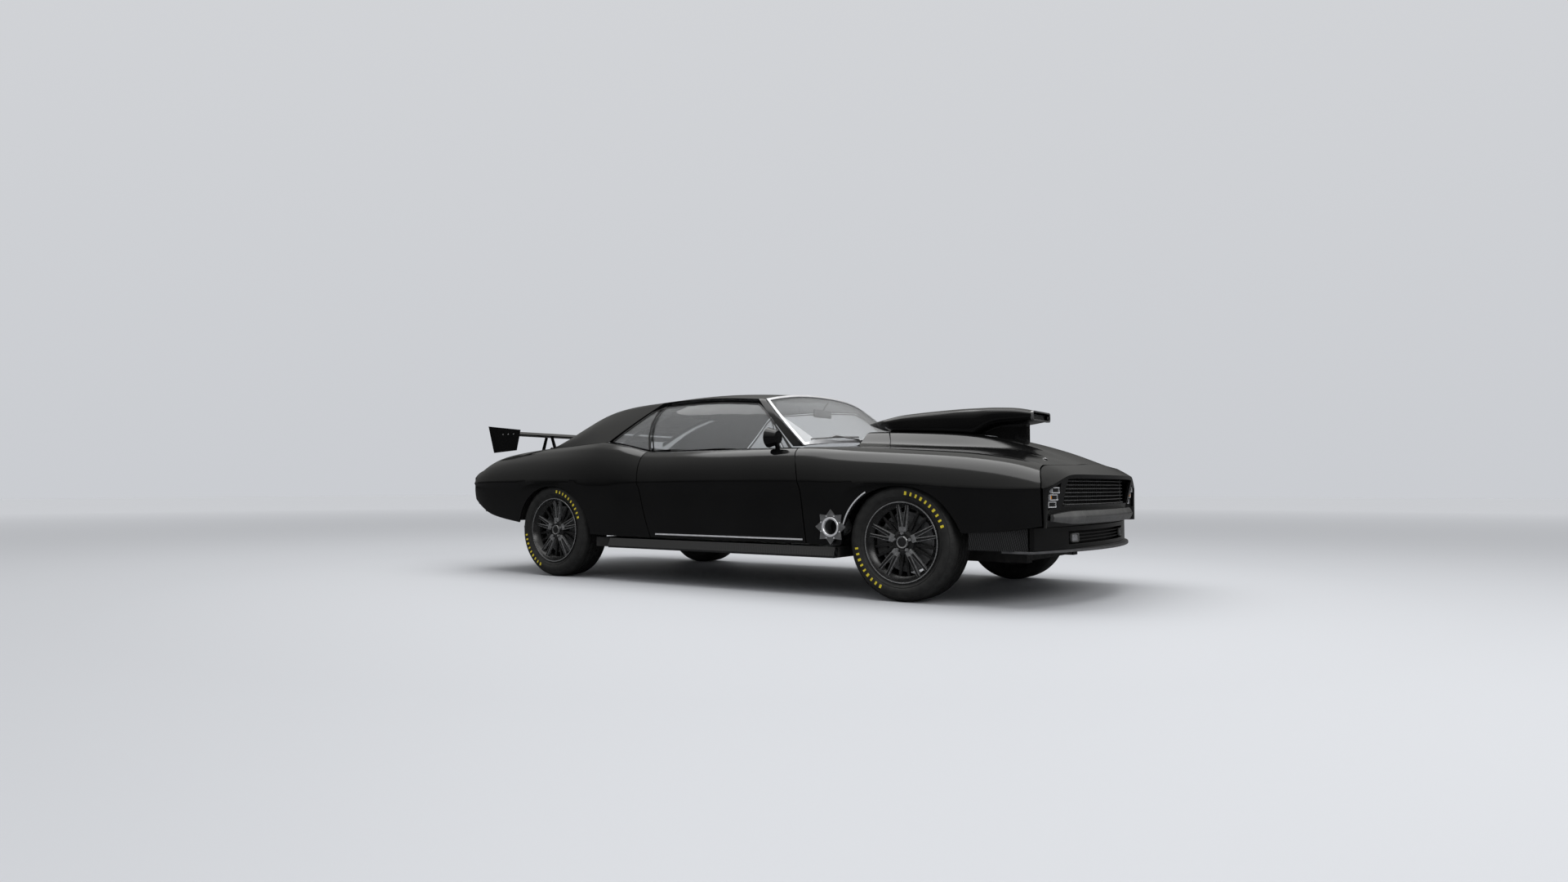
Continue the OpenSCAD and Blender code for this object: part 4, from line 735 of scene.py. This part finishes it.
def build_belt_trim():
    for name, side in SIDES:
        node = "door_" + name
        bm = bmesh.new()
        points = [on_top(node, x, side * 0.775, 0.0008) for x in steps(-0.50, 0.56, 24)]
        add_ribbon(bm, points, (0.0, 0.010 * side, 0.0), 0.004)
        finish_piece("belt_strip_" + name, bm, node, SATIN_BLACK, 30.0)


# Wipers and mirrors

def screen_edge(y):
    """How far forward the windshield's lower edge reaches at y."""
    return 0.831 - 0.273 * y * y


def build_wipers():
    bm = bmesh.new()
    for side in (-1, 1):
        blade = [on_top("windshield", screen_edge(y) - 0.034, side * y, 0.008) for y in steps(0.26, 0.66, 14)]
        add_tube(bm, blade, 0.0045, 8)
        spindle = Vector((0.839, side * 0.31, 0.874))
        knee = Vector((0.822, side * 0.32, 0.926))
        add_tube(bm, [spindle, knee, blade[7] + Vector((0.006, 0.0, 0.010)), blade[8]], 0.0048, 8)
        bmesh.ops.create_cone(
            bm, cap_ends=True, segments=20, radius1=0.013, radius2=0.009, depth=0.030,
            matrix=Matrix.Translation(spindle))
    finish_piece("wipers", bm, "body", STEEL, 40.0)


def build_room_mirror():
    bm = bmesh.new()
    hang = on_top("windshield", 0.40, 0.0, -0.008)
    add_tube(bm, [hang, hang + Vector((-0.03, 0.0, -0.03)), hang + Vector((-0.045, 0.0, -0.055))], 0.006, 10)
    add_box(bm, (0.022, 0.21, 0.055), Matrix.Translation(hang + Vector((-0.05, 0.0, -0.075))), 0.009, 3)
    finish_piece("room_mirror", bm, "body", CABIN, 40.0)


# Front end

def build_lamp_slots():
    """Three level slots in each lamp cover, with a marker at the outer end of the middle one."""
    frames = bmesh.new()
    glow = bmesh.new()
    amber = bmesh.new()
    for side in (-1, 1):
        for z in LAMP_ROWS:
            inner, outer = [on_front("headlamp_covers", side * y, z) for y in LAMP_Y]
            normal = (outer - inner).cross(Vector((0.0, 0.0, side)))
            place = facing((inner + outer) / 2, normal)
            add_frame(frames, place, 0.090, 0.032, 0.0055, 0.013, 0.006)
            add_plate(glow, place, 0.080, 0.022, 0.007, 0.005)
            if z == MARKER_ROW:
                add_plate(amber, place @ move(0.028 * side, 0.0, 0.006), 0.015, 0.016, 0.003, 0.004)
    finish_piece("lamp_frames", frames, "body", BRIGHT_TRIM_AND_HIGHLIGHT, 30.0)
    finish_piece("lamp_lenses", glow, "body", SATIN_BLACK, 30.0)
    finish_piece("marker_lenses", amber, "body", AMBER, 30.0)


def build_grille_detail():
    """Uprights, dark sheets behind the grille's ends that paint the shade there, bright lines and a surround.
    """
    uprights_and_shade_sheets = bmesh.new()
    for y in steps(-0.535, 0.535, 46):
        low = on_front("grille", y, 0.541)
        add_box(uprights_and_shade_sheets, (0.006, 0.0022, 0.150), move(low.x + 0.001, y, GRILLE_MID_Z), 0.0006, 1)
    # Dark sheets behind the grille's ends: painted shade for the dark behind the grille.
    for side in (-1, 1):
        add_box(uprights_and_shade_sheets, (0.004, 0.110, 0.236), move(2.158, side * 0.615, 0.573))
    finish_piece("grille_uprights", uprights_and_shade_sheets, "body", SATIN_BLACK)
    lines = bmesh.new()
    for z in steps(*GRILLE_LINES_Z, 6):
        points = [on_front("grille", y, z + 0.0025, 0.0004) for y in steps(-0.555, 0.555, 25)]
        add_ribbon(lines, [p - Vector((0.0, 0.0, 0.0018)) for p in points], (0.0, 0.0, 0.0036), 0.002)
    for (y0, z0), (y1, z1) in zip(GRILLE_CORNERS, GRILLE_CORNERS[1:]):
        count = 21 if abs(y1 - y0) > 0.5 else 4
        points = [on_front("grille", y, z, 0.003) for y, z in zip(steps(y0, y1, count), steps(z0, z1, count))]
        add_tube(lines, points, 0.0028, 8)
    finish_piece("grille_lines", lines, "body", STEEL, 30.0)


def build_scoop_mouth():
    front_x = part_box("hood_scoop")[1].x
    frame_bm = bmesh.new()
    mouth = [v.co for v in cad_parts["hood_scoop"].data.vertices if v.co.x > front_x - 0.004]
    wide = max(v.y for v in mouth) - min(v.y for v in mouth)
    bottom = min(v.z for v in mouth)
    top = max(v.z for v in mouth)
    place = facing(Vector((front_x - 0.012, 0.0, (bottom + top) / 2)), (1.0, 0.0, 0.0))
    add_frame(frame_bm, place, wide + 0.004, top - bottom + 0.004, 0.008, 0.016, 0.018)
    finish_piece("scoop_rim", frame_bm, "hood", STEEL, 30.0)
    screen = bmesh.new()
    for z in steps(bottom + 0.014, top - 0.014, 8):
        add_box(screen, (0.002, wide - 0.03, 0.0018), move(front_x - 0.03, 0.0, z))
    for y in steps(-wide / 2 + 0.016, wide / 2 - 0.016, 26):
        add_box(screen, (0.002, 0.0018, top - bottom - 0.024), move(front_x - 0.032, y, (bottom + top) / 2))
    finish_piece("scoop_screen", screen, "hood", STEEL)


def build_hood_pins():
    bm = bmesh.new()
    for side in (-1, 1):
        at = on_top("hood", 2.06, side * 0.42, 0.002)
        place = Matrix.Translation(at)
        bmesh.ops.create_cone(
            bm, cap_ends=True, segments=28, radius1=0.016, radius2=0.014, depth=0.004, matrix=place)
        bmesh.ops.create_uvsphere(bm, u_segments=18, v_segments=10, radius=0.006, matrix=place)
    finish_piece("hood_pins", bm, "hood", STEEL, 40.0)


# Rear end

def build_tail_bezels():
    bm = bmesh.new()
    low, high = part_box("tail_lamps")
    for side in (-1, 1):
        for y in TAIL_LAMPS_Y:
            at = on_front("tail_lamps", side * y, (low.z + high.z) / 2, 0.001, -1)
            add_frame(bm, facing(at, (-1.0, 0.0, 0.0)), 0.128, high.z - low.z - 0.004, 0.006, 0.005, 0.010)
    finish_piece("tail_bezels", bm, "body", BRIGHT_TRIM_AND_HIGHLIGHT, 30.0)


def build_wing_bolts():
    bm = bmesh.new()
    for side in (-1, 1):
        for x in (-2.085, -2.025, -1.965):
            at = on_side("wing", x, 1.028, side, 0.001)
            bmesh.ops.create_uvsphere(
                bm, u_segments=14, v_segments=8, radius=0.006, matrix=Matrix.Translation(at))
    finish_piece("wing_bolts", bm, "trunk", STEEL, 40.0)


build_rocker_trim()
build_arch_lip_highlight()
build_belt_trim()
build_wipers()
build_room_mirror()
build_lamp_slots()
build_grille_detail()
build_scoop_mouth()
build_hood_pins()
build_tail_bezels()
build_wing_bolts()


# Seats

PAD_VOXEL = 0.006
PAD_FRAMES = 20
PAD_PRESSURE = 4.0
PAD_CAP = 0.024
PAD_HELD = 0.004


def pad_mesh(name, size, round_by):
    """A cushion about the origin, swollen as cloth over a held underside and capped in its movement."""
    bm = bmesh.new()
    add_box(bm, size, Matrix.Identity(4), round_by, 4)
    mesh = bpy.data.meshes.new(name)
    bm.to_mesh(mesh)
    bm.free()
    pad = bpy.data.objects.new(name + "_sim", mesh)
    scene.collection.objects.link(pad)
    remesh = pad.modifiers.new("remesh", "REMESH")
    remesh.mode = "VOXEL"
    remesh.voxel_size = PAD_VOXEL
    rest = bpy.data.meshes.new_from_object(pad.evaluated_get(bpy.context.evaluated_depsgraph_get()))
    pad.modifiers.clear()
    pad.data = rest
    held = pad.vertex_groups.new(name="held")
    held_below = -size[2] / 2 + PAD_HELD
    held.add([v.index for v in rest.vertices if v.co.z < held_below], 1.0, "REPLACE")
    fill = pad.modifiers.new("fill", "CLOTH").settings
    fill.use_pressure = True
    fill.uniform_pressure_force = PAD_PRESSURE
    fill.effector_weights.gravity = 0.0
    fill.vertex_group_mass = "held"
    for step in range(1, PAD_FRAMES + 1):
        scene.frame_set(step)
    swollen = bpy.data.meshes.new_from_object(pad.evaluated_get(bpy.context.evaluated_depsgraph_get()))
    for before, after in zip(rest.vertices, swollen.vertices):
        way = after.co - before.co
        if way.length > PAD_CAP:
            after.co = before.co + way * (PAD_CAP / way.length)
    scene.frame_set(1)
    bpy.data.objects.remove(pad)
    return swollen


def place_pad(name, mesh, place):
    """A padded piece from a swollen mesh."""
    bm = bmesh.new()
    bm.from_mesh(mesh)
    bmesh.ops.transform(bm, matrix=place, verts=bm.verts)
    piece = finish_piece(name, bm, "body", VINYL, 60.0)
    smooth = piece.modifiers.new("smooth", "SUBSURF")
    smooth.levels = 1
    smooth.render_levels = 1


def add_channels(bm, mesh, place, half_long, half_wide, count):
    """Piping in rows along the crown of a cushion."""
    source = bmesh.new()
    source.from_mesh(mesh)
    crown = BVHTree.FromBMesh(source)
    source.free()
    for y in steps(-half_wide, half_wide, count):
        points = []
        for x in steps(-half_long, half_long, 16):
            at, _, _, _ = crown.ray_cast(Vector((x, y, 1.0)), Vector((0.0, 0.0, -1.0)))
            points.append(place @ (at + Vector((0.0, 0.0, 0.0005))))
        add_tube(bm, points, 0.0035, 8)


def build_front_seats():
    base = pad_mesh("seat_base", (0.42, 0.36, 0.060), 0.022)
    back = pad_mesh("seat_back", (0.40, 0.36, 0.055), 0.020)
    shell = bmesh.new()
    piping = bmesh.new()
    for name, side in SIDES:
        y = side * FRONT_SEAT_Y
        base_at = move(0.245, y, 0.408) @ turn(CUSHION_TILT, "Y")
        back_at = move(-0.048, y, 0.672) @ turn(72.0, "Y") @ turn(180.0, "Z")
        place_pad("seat_base_" + name, base, base_at)
        place_pad("seat_back_" + name, back, back_at)
        add_channels(piping, base, base_at, 0.17, 0.12, 5)
        add_channels(piping, back, back_at, 0.16, 0.12, 5)
        add_box(shell, (0.47, 0.42, 0.055), move(0.225, y, 0.352) @ turn(CUSHION_TILT, "Y"), 0.02, 3)
        add_box(shell, (0.050, 0.42, 0.50), move(-0.100, y, 0.620) @ turn(BACK_TILT, "Y"), 0.02, 3)
        for edge_y in (y - 0.195, y + 0.195):
            base_edge = move(0.235, edge_y, 0.398) @ turn(CUSHION_TILT, "Y")
            back_edge = move(-0.072, edge_y, 0.640) @ turn(BACK_TILT, "Y")
            add_box(shell, (0.40, 0.035, 0.07), base_edge, 0.015, 3)
            add_box(shell, (0.075, 0.035, 0.42), back_edge, 0.015, 3)
        for rail_y in (y - 0.158, y + 0.158):
            add_box(shell, (0.40, 0.028, 0.075), move(0.20, rail_y, 0.285), 0.004)
    finish_piece("front_seat_shells", shell, "body", CABIN, 40.0, "front_seats")
    finish_piece("front_seat_piping", piping, "body", SATIN_BLACK, 40.0)


def build_rear_seat():
    base = pad_mesh("bench_base", (0.34, 0.50, 0.060), 0.022)
    back = pad_mesh("bench_back", (0.27, 0.50, 0.055), 0.020)
    piping = bmesh.new()
    shell = bmesh.new()
    for name, side in SIDES:
        y = side * BENCH_Y
        base_at = move(-0.705, y, 0.552) @ turn(CUSHION_TILT, "Y")
        back_at = move(-0.955, y, 0.735) @ turn(68.0, "Y") @ turn(180.0, "Z")
        place_pad("bench_base_" + name, base, base_at)
        place_pad("bench_back_" + name, back, back_at)
        add_channels(piping, base, base_at, 0.14, 0.18, 5)
        add_channels(piping, back, back_at, 0.10, 0.18, 5)
    add_box(shell, (0.38, 1.19, 0.040), move(-0.700, 0.0, 0.508) @ turn(CUSHION_TILT, "Y"), 0.015, 3)
    add_box(shell, (0.050, 1.19, 0.35), move(-1.020, 0.0, 0.700) @ turn(-20.0, "Y"), 0.015, 3)
    finish_piece("bench_shell", shell, "body", CABIN, 40.0, "rear_seat")
    finish_piece("bench_piping", piping, "body", SATIN_BLACK, 40.0)


build_front_seats()
build_rear_seat()


# Cabin and nose details

def build_dash_dials():
    rings = bmesh.new()
    faces = bmesh.new()
    for y, radius in DIALS:
        at = on_front("dashboard", y, DIALS_Z, 0.001, -1)
        place = Matrix.Translation(at) @ turn(90.0, "Z")
        inner = radius - 0.006
        add_lathe(rings, [
            (inner, 0.0), (radius, 0.0), (radius - 0.001, 0.007), (radius - 0.004, 0.007)], place, 48)
        add_lathe(faces, [(0.0004, 0.0), (inner, 0.0), (inner, 0.003), (0.0004, 0.003)], place, 48)
        hand = place @ move(0.0, 0.004, 0.3 * radius) @ turn(35.0, "Y")
        add_box(rings, (0.002, 0.003, radius * 1.1), hand, 0.0004, 1)
    finish_piece("dial_rings", rings, "body", BRIGHT_TRIM_AND_HIGHLIGHT, 35.0)
    finish_piece("dial_faces", faces, "body", NEAR_BLACK_AND_SHADE, 35.0)


def valance_x(y):
    """How far forward the valance reaches at y."""
    return FRONT_AXLE + 0.835 - 0.16 * y * y


def build_intake():
    bars = bmesh.new()
    lamps = bmesh.new()
    lenses = bmesh.new()
    for z in INTAKE_BARS_Z:
        points = [(valance_x(y) - 0.020, y, z) for y in steps(-0.492, 0.492, 21)]
        add_ribbon(bars, points, (0.0, 0.0, 0.006), 0.010)
    # A flat near-black sheet behind the bars: painted shade for the dark inside of the intake.
    screen = bmesh.new()
    behind = [(valance_x(y) - 0.050, y, 0.304) for y in steps(-0.53, 0.53, 21)]
    add_ribbon(screen, behind, (0.0, 0.0, 0.104), 0.004)
    finish_piece("intake_shade_sheet", screen, "body", NEAR_BLACK_AND_SHADE, 30.0)
    for side in (-1, 1):
        y = side * PARK_LAMP_Y
        place = facing(Vector((valance_x(y) - 0.006, y, 0.355)), (1.0, 0.32 * y, 0.0))
        add_frame(lamps, place, 0.088, 0.048, 0.006, 0.010, 0.012)
        add_plate(lenses, place, 0.078, 0.038, 0.004, 0.010)
    finish_piece("intake_bars", bars, "body", SATIN_BLACK, 30.0)
    finish_piece("park_lamp_frames", lamps, "body", DARK_CHROME, 30.0)
    finish_piece("park_lamp_lenses", lenses, "body", CLEAR_LAMP, 30.0)


def build_exhaust_rings():
    rings = bmesh.new()
    dark = bmesh.new()
    outer_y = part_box("exhausts")[1].y
    for side in (-1, 1):
        place = move(EXHAUST_X, side * outer_y, EXHAUST_Z) @ outer_turn(side)
        add_lathe(rings, [
            (0.0435, -0.012), (0.0465, -0.012), (0.0465, 0.0005), (0.054, 0.0005), (0.056, 0.0035),
            (0.0545, 0.0055), (0.046, 0.0055), (0.0435, 0.002)], place, 72)
        # A near-black disc 85 to 95 mm inside each tail pipe: painted shade for the inside of the pipe.
        add_lathe(dark, [(0.0005, -0.095), (0.0462, -0.095), (0.0462, -0.085), (0.0005, -0.085)], place, 48)
        for k in range(8):
            bolt = place @ turn(22.5 + 45.0 * k, "Y") @ move(0.0, 0.0, 0.066) @ turn(90.0, "X")
            bmesh.ops.create_cone(
                rings, cap_ends=True, segments=6, radius1=0.0045, radius2=0.004, depth=0.006, matrix=bolt)
    finish_piece("exhaust_rings", rings, "body", BRIGHT_TRIM_AND_HIGHLIGHT, 30.0)
    finish_piece("exhaust_pipe_shade", dark, "body", NEAR_BLACK_AND_SHADE, 30.0)


def build_firewall_sides():
    """Panels from the firewall out to the fenders, and strips over the sills behind the fenders."""
    bm = bmesh.new()
    for side in (-1, 1):
        inset = Vector((0.0, -0.025 * side, 0.0))
        rising = [on_side("front_fenders", FIREWALL_X, z, side) + inset for z in steps(0.32, 0.80, 13)]
        add_ribbon(bm, rising, (0.0, -0.27 * side, 0.0), 0.006)
        lying = [on_side("front_fenders", x, 0.33, side) + inset for x in steps(0.745, 0.90, 8)]
        add_ribbon(bm, [Vector((at.x, at.y, 0.293)) for at in lying], (0.0, -0.07 * side, 0.0), 0.004)
    finish_piece("firewall_sides", bm, "body", CHASSIS, 30.0)


def build_mirror_glass():
    for name, side in SIDES:
        node = "door_" + name
        glass = bmesh.new()
        ring = bmesh.new()
        at = on_front(node, side * (HALF_W - 0.075), 0.922, 0.0008, -1)
        place = Matrix.Translation(at) @ turn(90.0, "Z")
        add_lathe(glass, [(0.0004, 0.0), (0.050, 0.0), (0.050, 0.002), (0.0004, 0.003)], place, 48)
        add_lathe(ring, [(0.050, 0.0), (0.0575, 0.0), (0.056, 0.004), (0.051, 0.004)], place, 48)
        finish_piece("mirror_glass_" + name, glass, node, CLEAR_LAMP, 35.0)
        finish_piece("mirror_ring_" + name, ring, node, BRIGHT_TRIM_AND_HIGHLIGHT, 35.0)


build_dash_dials()
build_intake()
build_exhaust_rings()
build_firewall_sides()
build_mirror_glass()
rim_trim("quarter_glass", "body", SATIN_BLACK, 0.012, 0.003, "quarter_surround")
for name, _ in SIDES:
    rim_trim(
        "door_glass_" + name, "door_" + name, SATIN_BLACK, 0.009, 0.002,
        "glass_edge_" + name)


# Stage, light and camera

FLOOR_HALF = 60.0
FLOOR_NEAR = 4.0
FLOOR_FAR = 24.0
SENSOR_MM = 36.0
LIGHT_BOUNCES = 24


def mirrored_only(nodes, links, path):
    """1 on rays that a surface mirrors, and 0 on those that glass lets through."""
    glossy, passed = path.outputs["Is Glossy Ray"], path.outputs["Is Transmission Ray"]
    share = math_node(nodes, links, "SUBTRACT", glossy, passed)
    return math_node(nodes, links, "MAXIMUM", share, 0.0)


def make_floor():
    """A pale floor, paler with distance, and dim where the car's surfaces mirror it."""
    bm = bmesh.new()
    bmesh.ops.create_grid(bm, x_segments=1, y_segments=1, size=FLOOR_HALF)
    mesh = bpy.data.meshes.new("floor")
    bm.to_mesh(mesh)
    bm.free()
    floor = bpy.data.objects.new("floor", mesh)
    scene.collection.objects.link(floor)
    material, tree, shader = principled("pale_floor", (0.42, 0.43, 0.45), roughness=0.55)
    mesh.materials.append(material)
    path = tree.nodes.new("ShaderNodeLightPath")
    place = tree.nodes.new("ShaderNodeTexCoord")
    away = tree.nodes.new("ShaderNodeVectorMath")
    away.operation = "LENGTH"
    share = tree.nodes.new("ShaderNodeMapRange")
    share.inputs["From Min"].default_value = FLOOR_NEAR
    share.inputs["From Max"].default_value = FLOOR_FAR
    tree.links.new(place.outputs["Object"], away.inputs[0])
    tree.links.new(away.outputs["Value"], share.inputs["Value"])
    spread = color_mix(tree, share.outputs["Result"], (0.52, 0.53, 0.55), (0.97, 0.98, 1.0))
    dim = (0.05, 0.05, 0.052)
    pale = color_mix(tree, mirrored_only(tree.nodes, tree.links, path), dim, dim)
    tree.links.new(spread.outputs["Result"], pale.inputs["A"])
    tree.links.new(pale.outputs["Result"], shader.inputs["Base Color"])


def set_stops(ramp, *stops):
    for element, (position, color) in zip(ramp.color_ramp.elements, stops):
        element.position = position
        element.color = (*color, 1.0)


def make_world():
    """A studio that lights evenly, with a darker one that only the car's surfaces mirror."""
    world = bpy.data.worlds.new("studio")
    scene.world = world
    world.use_nodes = True
    nodes, links = world.node_tree.nodes, world.node_tree.links
    back = nodes["Background"]
    place = nodes.new("ShaderNodeTexCoord")
    split = nodes.new("ShaderNodeSeparateXYZ")
    ramp = nodes.new("ShaderNodeValToRGB")
    height = nodes.new("ShaderNodeMapRange")
    height.inputs["From Min"].default_value = -1.0
    links.new(place.outputs["Generated"], split.inputs[0])
    links.new(split.outputs["Z"], height.inputs["Value"])
    links.new(height.outputs["Result"], ramp.inputs["Fac"])
    set_stops(ramp, (0.5, (0.74, 0.76, 0.80)), (1.0, (0.88, 0.89, 0.91)))
    mirrored = nodes.new("ShaderNodeValToRGB")
    set_stops(mirrored, (0.52, (0.02, 0.02, 0.02)), (0.92, (0.85, 0.85, 0.83)))
    links.new(height.outputs["Result"], mirrored.inputs["Fac"])
    path = nodes.new("ShaderNodeLightPath")
    mix = nodes.new("ShaderNodeMix")
    mix.data_type = "RGBA"
    links.new(mirrored_only(nodes, links, path), mix.inputs["Factor"])
    links.new(ramp.outputs["Color"], mix.inputs["A"])
    links.new(mirrored.outputs["Color"], mix.inputs["B"])
    links.new(mix.outputs["Result"], back.inputs["Color"])
    back.inputs["Strength"].default_value = 0.8


def make_lamp(name, at, aim, size, power):
    data = bpy.data.lights.new(name, "AREA")
    data.shape = "RECTANGLE"
    data.size, data.size_y = size
    data.energy = power
    lamp = bpy.data.objects.new(name, data)
    scene.collection.objects.link(lamp)
    lamp.location = at
    lamp.rotation_euler = (Vector(aim) - Vector(at)).to_track_quat("-Z", "Y").to_euler()


CAMERA_AT = Vector((3.8943, -5.626, 0.6271))
CAMERA_YAW = 0.6025
CAMERA_PITCH = 0.0475
LENS_MM = 22.199


def make_camera():
    data = bpy.data.cameras.new("camera")
    data.lens = LENS_MM
    data.sensor_width = SENSOR_MM
    camera = bpy.data.objects.new("camera", data)
    scene.collection.objects.link(camera)
    camera.location = CAMERA_AT
    camera.rotation_euler = (math.pi / 2 + CAMERA_PITCH, 0.0, CAMERA_YAW)
    scene.camera = camera


make_floor()
make_world()
make_lamp("overhead", (0.0, 0.0, 6.0), (0.0, 0.0, 0.0), (9.0, 6.0), 420.0)
make_lamp("front", (7.0, -3.0, 4.5), (1.0, 0.0, 0.6), (4.0, 3.0), 160.0)
make_camera()
scene.view_settings.view_transform = "Standard"
scene.cycles.max_bounces = LIGHT_BOUNCES
scene.cycles.transmission_bounces = LIGHT_BOUNCES
